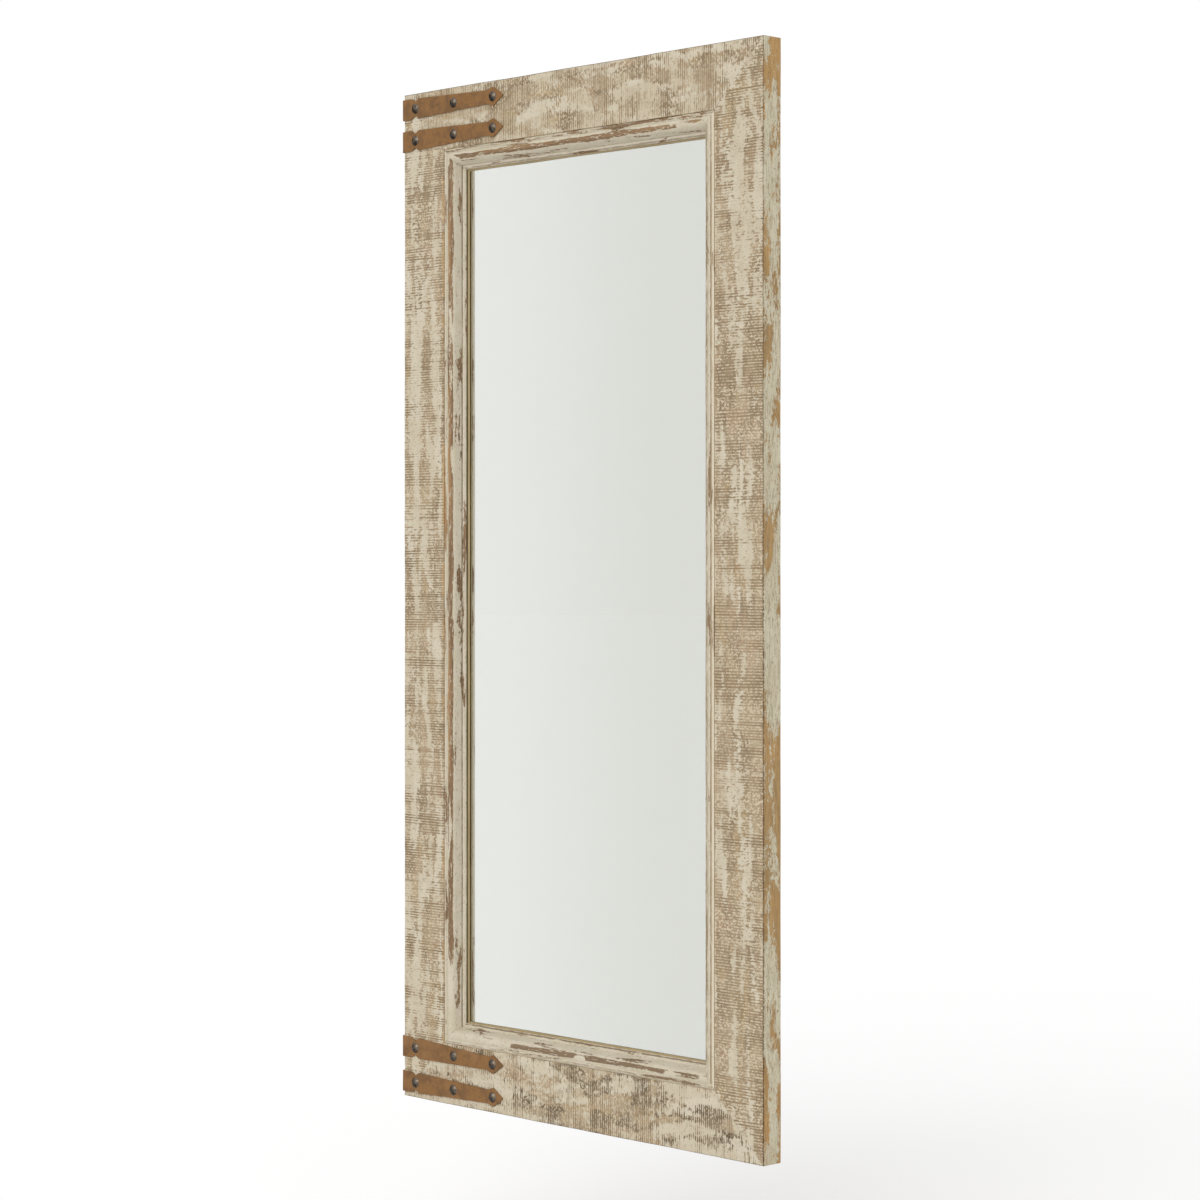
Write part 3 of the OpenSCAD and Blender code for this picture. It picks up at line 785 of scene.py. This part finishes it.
def rusty_iron(colours):
    """Evenly rusted iron: matt brown with darker blooms, pits and pale scuffs."""
    material, tree = new_material("Rusty iron")
    place, _ = object_place(tree)
    bloom = tree.noise(place, 48, 5, 0.62, 0.4)
    grainy = tree.noise(place, 620, 4, 0.7)
    shade = tree.mix(tree.step(bloom, 0.40, 0.66), colours.rust, tone(118, 88, 58))
    scuff = tree.step(tree.noise(place, 18, 3), 0.5, 0.66)
    shade = tree.stain(shade, scuff, 0.45, tone(150, 114, 76))
    shade = tree.stain(shade, tree.step(grainy, 0.45, 0.7), 0.35, tone(98, 72, 48))
    pits = tree.step(tree.noise(place, 260), 0.62, 0.70)
    shade = tree.stain(shade, pits, 0.6, tone(78, 58, 42))
    finish_surface(tree, shade, tree.blend(tree.step(bloom, 0.4, 0.7), 0.66, 0.82),
                   grainy * 0.5 + bloom, 0.00018, gloss=0.2)
    return material


# Place on a nail head, from 0 at its left and bottom to 1
HEAD_MAP = "on_head"


def blackened_iron(colours):
    """Dark hammered iron of the nail heads, with a painted dark reflection on the lower left of
    each head, a painted highlight on its upper right, and paler specks.
    """
    material, tree = new_material("Blackened iron")
    place, _ = object_place(tree)
    spot = tree.split(tree.node("ShaderNodeUVMap", uv_map=HEAD_MAP)[0])
    blotch = tree.noise(place, 330, 3, 0.6)
    fine = tree.noise(place, 1500, 3, 0.65)
    # Painted light: each head is painted near black on its lower left as a dark reflection, and
    # pale on its upper right as a highlight
    painted_light_side = spot[0] + spot[1] * 0.7 + (blotch - 0.5) * 1.6
    shade = tree.mix(tree.step(painted_light_side, 1.12, 0.7), colours.dark_iron, tone(22, 20, 19))
    shade = tree.stain(shade, tree.step(painted_light_side, 1.2, 1.4), 0.5, tone(150, 134, 116))
    shade = tree.stain(shade, tree.step(fine, 0.56, 0.7), 0.3, tone(140, 124, 108))
    finish_surface(tree, shade, tree.blend(tree.step(blotch, 0.4, 0.66), 0.2, 0.4),
                   fine * 0.3 + blotch, 0.0001, metallic=0.85)
    return material


def plated_steel(name, base, dull):
    """Zinc-plated steel: faint crystal blotches and fine scratches."""
    material, tree = new_material(name)
    place, _ = object_place(tree)
    crystal = tree.node("ShaderNodeTexVoronoi", {"Vector": place, "Scale": 420})["Color"]
    blotch = tree.noise(place, 60, 4, 0.6)
    shade = tree.stain(base, tree.step(blotch, 0.4, 0.65), 0.7, dull)
    shade = tree.mix(0.12, shade, crystal, "OVERLAY")
    finish_surface(tree, shade, tree.blend(tree.step(blotch, 0.38, 0.66), 0.28, 0.46),
                   tree.noise(place, (2600, 2600, 160)), 0.00004, metallic=1.0)
    return material


def bumper_rubber():
    """Matt dark rubber with a fine mottle."""
    material, tree = new_material("Bumper rubber")
    place, _ = object_place(tree)
    mottle = tree.noise(place, 700, 4, 0.7)
    shade = tree.mix(tree.step(mottle, 0.4, 0.6), tone(46, 44, 43), tone(66, 63, 60))
    shade = tree.group("Dust", Vector=place, Color=shade, Amount=0.25)["Color"]
    finish_surface(tree, shade, 0.85, mottle, 0.0001)
    return material


def clear_glass():
    """Slightly green plate glass."""
    material, tree = new_material("Plate glass")
    set_surface(tree, {"Base Color": (0.968, 0.982, 0.968), "IOR": 1.52,
                       "Transmission Weight": 1.0, "Roughness": 0.0})
    return material


def silvering():
    """Silver on the back of the glass, with painted shade that makes its reflection a little
    greyer towards the right.
    """
    material, tree = new_material("Silvering")
    place, part = object_place(tree)
    # Painted shade: the silver is painted greyer towards the right
    painted_shade_place = (tree.noise(place, 3, 3, 0.55) - 0.5) * 0.06 + part[0]
    shade = tree.mix(tree.step(painted_shade_place, -0.27, 0.24), (0.815, 0.815, 0.785), (0.72, 0.72, 0.685))
    set_surface(tree, {"Base Color": shade, "Metallic": 1.0, "Roughness": 0.0})
    return material


def carried_over(nodes, material):
    """Gives CAD nodes that stay as they are their procedural material."""
    for node in nodes:
        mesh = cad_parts[node].data
        mesh.materials.clear()
        mesh.materials.append(material)


# The looks of the face boards: left, top, right and bottom
BOARD_LOOKS = {
    # How bare the board is, with stops of (portion, share) from end to end, and from its outer
    # to its inner edge
    "wear": (0.6, 0.47, 0.57, 0.5),
    "along": (
        ((0, 0.6), (0.2, 0.66), (0.42, 0.6), (0.6, 0.54), (0.8, 0.46), (1, 0.35)),
        ((0, 0.5), (0.3, 0.66), (0.5, 0.56), (0.72, 0.68), (0.88, 0.5), (1, 0.3)),
        ((0, 0.64), (0.25, 0.64), (0.5, 0.66), (0.72, 0.58), (0.86, 0.2), (1, 0.4)),
        ((0, 0.5), (0.3, 0.46), (0.5, 0.66), (0.68, 0.7), (0.8, 0.3), (1, 0.6)),
    ),
    "across": (
        ((0, 0.6), (0.15, 0.62), (0.28, 0.3), (0.38, 0.36), (0.52, 0.66), (0.7, 0.62),
         (0.82, 0.34), (0.94, 0.45), (0.97, 0.95)),
        ((0, 0.5), (0.1, 0.5), (0.25, 0.68), (0.35, 0.64), (0.55, 0.46), (1, 0.54)),
        ((0, 0.9), (0.06, 0.7), (0.3, 0.44), (0.45, 0.42), (0.7, 0.6), (1, 0.6)),
        ((0, 0.5), (0.2, 0.54), (0.4, 0.5), (0.75, 0.58), (0.94, 0.56), (1, 0.8)),
    ),
    # Scale of the worn patches, and the strengths of the dark and the ochre wood
    "patch": ((10, 54, 30), (13, 42, 30), (10, 54, 30), (13, 38, 30)),
    "taupe": (0.35, 0.45, 0.35, 1.0),
    "ochre": (0.5, 0.12, 0.2, 0.12),
    # How far the saw marks comb the paint's edges, and cut dark lines in the wood
    "comb": (0.7, 0.62, 0.42, 0.7),
    "cut": (0.9, 0.8, 0.7, 0.5),
    # Scale and strength of the rubbed paint
    "thin": ((8, 34, 20), (9, 22, 20), (8, 30, 20), (9, 24, 20)),
    "veil": (0.35, 0.8, 0.35, 0.45),
    # Scale and colour of the dashes that the brush has missed
    "dashes": ((170, 150, 60), (190, 160, 60), (170, 150, 60), (180, 170, 60)),
    "dash_tone": (tone(140, 118, 88), tone(134, 112, 82), tone(146, 124, 94), tone(100, 84, 62)),
}

# The looks of the mouldings, in the same order
MOULDING_LOOKS = {
    # How bare the crest is from end to end, its middle and half width, and the patches' scale
    "along": (
        ((0, -0.2), (0.12, -0.1), (0.15, 0.9), (0.62, 1.05), (0.9, 0.9), (1, 0.65)),
        ((0, 0.6), (0.3, 0.8), (0.6, 0.7), (1, 0.35)),
        ((0, 0.05), (0.5, 0.1), (1, 0.05)),
        ((0, -0.3), (0.31, -0.1), (0.325, 1.15), (0.5, 1.15), (0.51, -0.1), (0.53, -0.1),
         (0.535, 1.15), (0.74, 1.05), (0.76, 0.4), (0.8, 0.8), (1, 0.1)),
    ),
    "crest": ((0.1244, 0.0052), (0.1238, 0.0046), (0.1262, 0.0030), (0.1229, 0.0044)),
    "patch": ((10, 110, 60), (14, 120, 60), (10, 110, 60), (9, 120, 60)),
    # How bare the rest, the fillet and the slope's foot are
    "wear": (0.06, 0.16, 0.0, -0.05),
    "fillet": (0.2, 0.32, 0.0, 0.3),
    "foot": (0.12, 0.1, 0.05, 0.0),
    # Warmth and greyness of the wood, and how much paler the hollow and the sight bevel are
    # painted, as painted light where the moulding faces down
    "warmth": (0.6, 0.3, 0.4, 0.05),
    "taupe": (0.1, 0.2, 0.5, 0.7),
    "lift": (0.0, 0.2, 0.0, 0.0),
    # Strengths of the lines: on the fillet, at the seat of the crest with a darker band over the
    # crest and slope, the fillet's painted highlight, at the root, on the sight lip, and of the
    # painted shade at its edge
    "fillet_line": (0.05, 0.5, 0.0, 0.5),
    "seat": (0.0, 0.0, 1.0, 0.0),
    "edging": (0.0, 0.0, 0.6, 0.0),
    "root": (0.95, 0.4, 0.2, 0.05),
    "sight": (0.15, 0.6, 0.15, 0.85),
    "edge": (1.0, 0.4, 0.3, 0.2),
}

# How bare the right side return is from bottom to top, and the other three from end to end
RIGHT_SIDE_WEAR = ((0, 0.6), (0.14, 0.5), (0.2, 0.72), (0.38, 0.7), (0.43, 0.3), (0.57, 0.66),
                   (0.68, 0.3), (0.8, 0.78), (0.88, 0.4), (0.97, 0.62))
PLAIN_SIDE_WEAR = ((0, 0.55), (0.5, 0.45), (1, 0.6))


def look_of(looks, side):
    """One side's values from a table of looks."""
    return {name: values[SIDES.index(side)] for name, values in looks.items()}


class FaceBoards(bpy.types.Operator):
    """Models the four rough-sawn face boards with real saw marks and worn arrises"""

    bl_idname = "wall_mirror.face_boards"
    bl_label = "Face Boards"

    def execute(self, context):
        sizes = context.scene.mirror_sizes
        arrises = [(0, 0, 3.2 * MM), (BOARD_W, 0, 2.2 * MM)]
        for number, side in enumerate(SIDES):
            bm = bmesh.new()
            draw_member(bm, side, face_board_outline, 1.15, face_cuts=25)
            marks = bm.verts.layers.float.new("saw_marks")
            for vert in bm.verts:
                across, along = across_and_along(vert.co, side)
                # The shift gives each board saw marks of its own
                vert[marks] = saw_mark(along + 3.1 * number, across, sizes.saw_pitch)
                on_face = step(vert.co.y - FRONT_Y, 0.9 * MM, 0.3 * MM)
                inside = step(across, 0.4 * MM, 2.6 * MM) * step(across, 106.9 * MM, 105.6 * MM)
                vert.co.y += (1 - vert[marks]) * sizes.saw_depth * on_face * inside
            age_member(bm, side, sizes.warp, sizes.chip, arrises)
            look = look_of(BOARD_LOOKS, side)
            material = sawn_paint(side, look, context.scene.mirror_colours)
            add_piece(bm, f"{side}_sawn_board", material, f"{side}_face_board", 50)
        return {"FINISHED"}


class SideReturns(bpy.types.Operator):
    """Models the four planed side returns, whose seam opens low on the right"""

    bl_idname = "wall_mirror.side_returns"
    bl_label = "Side Returns"

    def execute(self, context):
        sizes = context.scene.mirror_sizes
        arrises = [(0, 0, 3.2 * MM), (0, FRAME_D, 3.5 * MM)]
        for side in SIDES:
            bm = bmesh.new()
            draw_member(bm, side, side_return_outline, 4)
            age_member(bm, side, sizes.warp, sizes.chip, arrises)
            for vert in bm.verts:
                if side == "right" and vert.co.y - FRONT_Y < 2.3 * MM:
                    low = step(vert.co.z, -0.66, -0.74)
                    here = max(low, 0.4 * step(noise.noise(vert.co * 9), 0.15, 0.5))
                    vert.co.y += here * sizes.seam_open
            stops = RIGHT_SIDE_WEAR if side == "right" else PLAIN_SIDE_WEAR
            material = side_paint(side, stops, context.scene.mirror_colours)
            add_piece(bm, f"{side}_planed_return", material, f"{side}_side_return",
                      40)
        return {"FINISHED"}


class Mouldings(bpy.types.Operator):
    """Models the four mitred mouldings round the glass"""

    bl_idname = "wall_mirror.mouldings"
    bl_label = "Mouldings"

    def execute(self, context):
        sizes = context.scene.mirror_sizes
        arrises = [(109 * MM, 1 * MM, 1.6 * MM), (144.2 * MM, 22.2 * MM, 2 * MM)]
        for side in SIDES:
            bm = bmesh.new()
            draw_member(bm, side, moulding_outline, 4)
            age_member(bm, side, sizes.warp, 0.6 * sizes.chip, arrises)
            look = look_of(MOULDING_LOOKS, side)
            material = moulding_paint(side, look, context.scene.mirror_colours)
            add_piece(bm, f"{side}_worn_moulding", material,
                      f"{side}_moulding", 40)
        return {"FINISHED"}


class BackFrame(bpy.types.Operator):
    """Finishes the sub-frame, the card, the back panel and the wall bumpers"""

    bl_idname = "wall_mirror.back_frame"
    bl_label = "Back Frame"

    def execute(self, context):
        colours = context.scene.mirror_colours
        card = pressed_board("Card", tone(178, 150, 112), tone(150, 122, 88), 0)
        hardboard = pressed_board("Hardboard", tone(134, 98, 64), tone(104, 74, 48), 0.0021)
        carried_over(["left_back_stile", "right_back_stile"],
                     raw_wood("Upright pine", True, colours))
        carried_over(["top_back_rail", "bottom_back_rail"],
                     raw_wood("Crosswise pine", False, colours))
        carried_over(["backing_pad"], card)
        carried_over(["back_panel"], hardboard)
        carried_over(["wall_bumpers"], bumper_rubber())
        return {"FINISHED"}


class Glass(bpy.types.Operator):
    """Models the pane: clear glass in front with silvering on its back"""

    bl_idname = "wall_mirror.glass"
    bl_label = "Mirror Glass"

    def execute(self, context):
        low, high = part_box("mirror_glass")
        high.y -= 0.05 * MM
        bm = bmesh.new()
        bmesh.ops.create_cube(bm, size=1)
        bmesh.ops.scale(bm, verts=bm.verts[:], vec=high - low)
        bmesh.ops.translate(bm, verts=bm.verts[:], vec=(high + low) / 2)
        bmesh.ops.bevel(bm, geom=bm.edges[:], offset=0.5 * MM, segments=2, profile=0.5,
                        affect="EDGES", material=-1)
        bmesh.ops.recalc_face_normals(bm, faces=bm.faces[:])
        for face in bm.faces:
            face.material_index = 1 if face.normal.y > 0.9 else 0
        pane = add_piece(bm, "silvered_pane", clear_glass(), "mirror_glass", 20)
        pane.data.materials.append(silvering())
        return {"FINISHED"}


def merged_copy(node):
    """bmesh of a CAD node's mesh with its triangles joined into flat faces."""
    bm = bmesh.new()
    bm.from_mesh(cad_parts[node].data)
    bmesh.ops.remove_doubles(bm, verts=bm.verts[:], dist=2e-6)
    bmesh.ops.dissolve_limit(bm, angle_limit=math.radians(0.5), verts=bm.verts[:],
                             edges=bm.edges[:])
    return bm


class Straps(bpy.types.Operator):
    """Forges the four straps from the CAD blanks: filed edges, hammer dents, uneven outline"""

    bl_idname = "wall_mirror.straps"
    bl_label = "Corner Straps"

    def execute(self, context):
        sizes = context.scene.mirror_sizes
        material = rusty_iron(context.scene.mirror_colours)
        pitch = 4 * MM
        for number, node in enumerate(("top_outer_strap", "top_inner_strap",
                                       "bottom_inner_strap", "bottom_outer_strap")):
            bm = merged_copy(node)
            edges = [e for e in bm.edges if e.calc_face_angle(0) > math.radians(60)]
            bmesh.ops.bevel(bm, geom=edges, offset=sizes.strap_edge, segments=2, profile=0.5,
                            affect="EDGES", material=-1, clamp_overlap=True)
            low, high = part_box(node)
            for axis, normal in ((0, Vector((1, 0, 0))), (2, Vector((0, 0, 1)))):
                place = low[axis] + pitch
                while place < high[axis]:
                    bmesh.ops.bisect_plane(bm, geom=bm.verts[:] + bm.edges[:] + bm.faces[:],
                                           dist=1e-6, plane_co=normal * place, plane_no=normal)
                    place += pitch
            for vert in bm.verts:
                point = vert.co.copy()
                sway = noise.noise_vector(point * 45 + Vector((number * 5, 0, 0)))
                dent = noise.noise(point * 110) * 0.6 + noise.noise(point * 60) * 0.4
                front = step(FRONT_Y - point.y, 1.2 * MM, 2.1 * MM)
                shift = Vector((sway.x, 0, sway.z)) * 0.45 * MM
                shift.y = (dent + 0.2) * sizes.strap_dent * front
                vert.co = point + shift
            add_piece(bm, f"forged_{node}", material, node, 40)
        return {"FINISHED"}


class Nails(bpy.types.Operator):
    """Models the twelve nail heads, each hammered to its own facets"""

    bl_idname = "wall_mirror.nails"
    bl_label = "Strap Nails"

    def execute(self, context):
        sizes = context.scene.mirror_sizes
        draw = random.Random(SEED)
        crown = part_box("strap_nails")[0].y
        spots = {
            (round(vert.co.x, 4), round(vert.co.z, 4))
            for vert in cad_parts["strap_nails"].data.vertices
            if vert.co.y < crown + 0.02 * MM
        }
        head_r = 9 * MM
        head_h = 5 * MM
        sunk = 0.2 * MM
        steepest = math.radians(46)
        ball_r = (head_r ** 2 + head_h ** 2) / (2 * head_h)
        whole = bmesh.new()
        for x, z in sorted(spots):
            bm = bmesh.new()
            bmesh.ops.create_uvsphere(bm, u_segments=40, v_segments=28, radius=ball_r)
            for _ in range(sizes.facets):
                turn = draw.uniform(0, 2 * math.pi)
                tilt = steepest * math.sqrt(draw.uniform(0.0, 1.0))
                out = Vector((math.sin(tilt) * math.cos(turn), math.sin(tilt) * math.sin(turn),
                              math.cos(tilt)))
                depth = sizes.facet_depth * draw.uniform(0.45, 1.0)
                slice_off(bm, out * (ball_r - depth), out)
            slice_off(bm, (0, 0, ball_r - head_h - sunk), (0, 0, -1))
            bmesh.ops.recalc_face_normals(bm, faces=bm.faces[:])
            bmesh.ops.translate(bm, verts=bm.verts[:], vec=(0, 0, -ball_r))
            on_head = bm.loops.layers.uv.new(HEAD_MAP)
            for face in bm.faces:
                for corner in face.loops:
                    spot = corner.vert.co / (2 * head_r)
                    corner[on_head].uv = (0.5 + spot.x, 0.5 + spot.y)
            bmesh.ops.rotate(bm, verts=bm.verts[:], cent=(0, 0, 0),
                             matrix=Matrix.Rotation(math.radians(90), 3, "X"))
            bmesh.ops.translate(bm, verts=bm.verts[:], vec=(x, crown, z))
            head = mesh_of(bm, "nail")
            whole.from_mesh(head)
            bpy.data.meshes.remove(head)
        add_piece(whole, "hammered_nail_heads", blackened_iron(context.scene.mirror_colours),
                  "strap_nails", 12)
        return {"FINISHED"}


class Hangers(bpy.types.Operator):
    """Finishes the hanger plates, their rings and every screw"""

    bl_idname = "wall_mirror.hangers"
    bl_label = "Hanging Hardware"

    def execute(self, context):
        zinc = tuple(context.scene.mirror_colours.zinc)
        carried_over(
            ["left_hanger_plate", "right_hanger_plate", "panel_screws", "hanger_screws"],
            plated_steel("Zinc-plated steel", zinc, tone(158, 158, 156)))
        carried_over(["left_hanging_ring", "right_hanging_ring"],
                     plated_steel("Ring steel", tone(200, 198, 190), tone(164, 160, 150)))
        return {"FINISHED"}


def seen_rays(tree):
    """1 for camera, glossy and transmission rays, and 0 for the rays that light the object."""
    path = tree.node("ShaderNodeLightPath")
    seen = path["Is Camera Ray"] + path["Is Glossy Ray"] + path["Is Transmission Ray"]
    return tree.math("MINIMUM", seen, 1.0)


def studio_walls(tree):
    """What reflections see: white, with a dark screen at the far left."""
    toward = tree.split(tree.node("ShaderNodeTexCoord")["Generated"])
    screen = tree.step(toward[0], -0.85, -0.93) * 0.8
    return tree.blend(tree.node("ShaderNodeLightPath")["Is Camera Ray"], 1.0 - screen, 1.0)


# The sky and the sun light the object. The floor's glow makes up the rest of its white, so
# that it meets the background without a line.
SKY_STRENGTH = 0.84
SUN_STRENGTH = 0.84
SUN_FROM = (0.30, -0.77, 0.56)
SUN_DEGREES = 40
FLOOR_GLOW = 0.12
FLOOR_RADIUS = 60

# The photograph's level camera, with the shift that keeps the uprights upright
CAMERA_PLACE = (3.6938, -3.5657, 0.0704)
CAMERA_TURN = 45.87
CAMERA_LENS = 90.39
CAMERA_SHIFT = (-0.0003, -0.0364)


class Stage(bpy.types.Operator):
    """Sets the pale floor, the soft studio light and the camera"""

    bl_idname = "wall_mirror.stage"
    bl_label = "Stage"

    def execute(self, context):
        scene = context.scene
        scene.view_settings.view_transform = "Standard"
        bm = bmesh.new()
        bmesh.ops.create_circle(bm, cap_ends=True, segments=96, radius=FLOOR_RADIUS)
        bmesh.ops.translate(bm, verts=bm.verts[:],
                            vec=(0, 0, -HALF_H - scene.mirror_sizes.floor_drop))
        floor = scene_object("studio_floor", mesh_of(bm, "studio_floor"))
        material, tree = new_material("Studio floor")
        set_surface(tree, {
            "Base Color": (0.9, 0.9, 0.9), "Roughness": 1.0, "Specular IOR Level": 0.0,
            "Emission Color": (1, 1, 1), "Emission Strength": seen_rays(tree) * FLOOR_GLOW,
        })
        floor.data.materials.append(material)

        world = bpy.data.worlds.new("Studio")
        scene.world = world
        world.use_nodes = True
        sky = Tree(world.node_tree)
        strength = sky.blend(seen_rays(sky), SKY_STRENGTH, studio_walls(sky))
        sky.fill(world.node_tree.nodes["Background"], {"Color": (1, 1, 1), "Strength": strength})

        light = bpy.data.lights.new("front_light", "SUN")
        light.angle = math.radians(SUN_DEGREES)
        light.energy = SUN_STRENGTH
        lamp = scene_object("front_light", light)
        lamp.rotation_euler = Vector(SUN_FROM).to_track_quat("Z", "Y").to_euler()

        camera = bpy.data.cameras.new("photo_camera")
        camera.lens = CAMERA_LENS
        camera.sensor_width = 36
        camera.shift_x, camera.shift_y = CAMERA_SHIFT
        camera.clip_end = 100
        viewer = scene_object("photo_camera", camera)
        viewer.location = CAMERA_PLACE
        viewer.rotation_euler = (math.radians(90), 0, math.radians(CAMERA_TURN))
        scene.camera = viewer
        return {"FINISHED"}


class MirrorPanel(bpy.types.Panel):
    """Lists the sizes, the colours and the pieces"""

    bl_idname = "VIEW3D_PT_wall_mirror"
    bl_label = "Wall Mirror"
    bl_space_type = "VIEW_3D"
    bl_region_type = "UI"
    bl_category = "Wall Mirror"

    def draw(self, context):
        layout = self.layout
        for group in (context.scene.mirror_sizes, context.scene.mirror_colours):
            box = layout.box()
            for name in group.__annotations__:
                box.prop(group, name)
        for piece in PIECES:
            layout.operator(piece.bl_idname)


PIECES = (Stage, FaceBoards, SideReturns, Mouldings, BackFrame, Glass, Straps, Nails, Hangers)
CLASSES = (MirrorSizes, MirrorColours, *PIECES, MirrorPanel)


def register():
    for cls in CLASSES:
        bpy.utils.register_class(cls)
    bpy.types.Scene.mirror_sizes = bpy.props.PointerProperty(type=MirrorSizes)
    bpy.types.Scene.mirror_colours = bpy.props.PointerProperty(type=MirrorColours)


def unregister():
    del bpy.types.Scene.mirror_colours
    del bpy.types.Scene.mirror_sizes
    for cls in reversed(CLASSES):
        bpy.utils.unregister_class(cls)


def main():
    """Makes every piece in order."""
    register()
    ops = bpy.ops.wall_mirror
    ops.stage()
    ops.face_boards()
    ops.side_returns()
    ops.mouldings()
    ops.back_frame()
    ops.glass()
    ops.straps()
    ops.nails()
    ops.hangers()


if __name__ == "__main__":
    main()
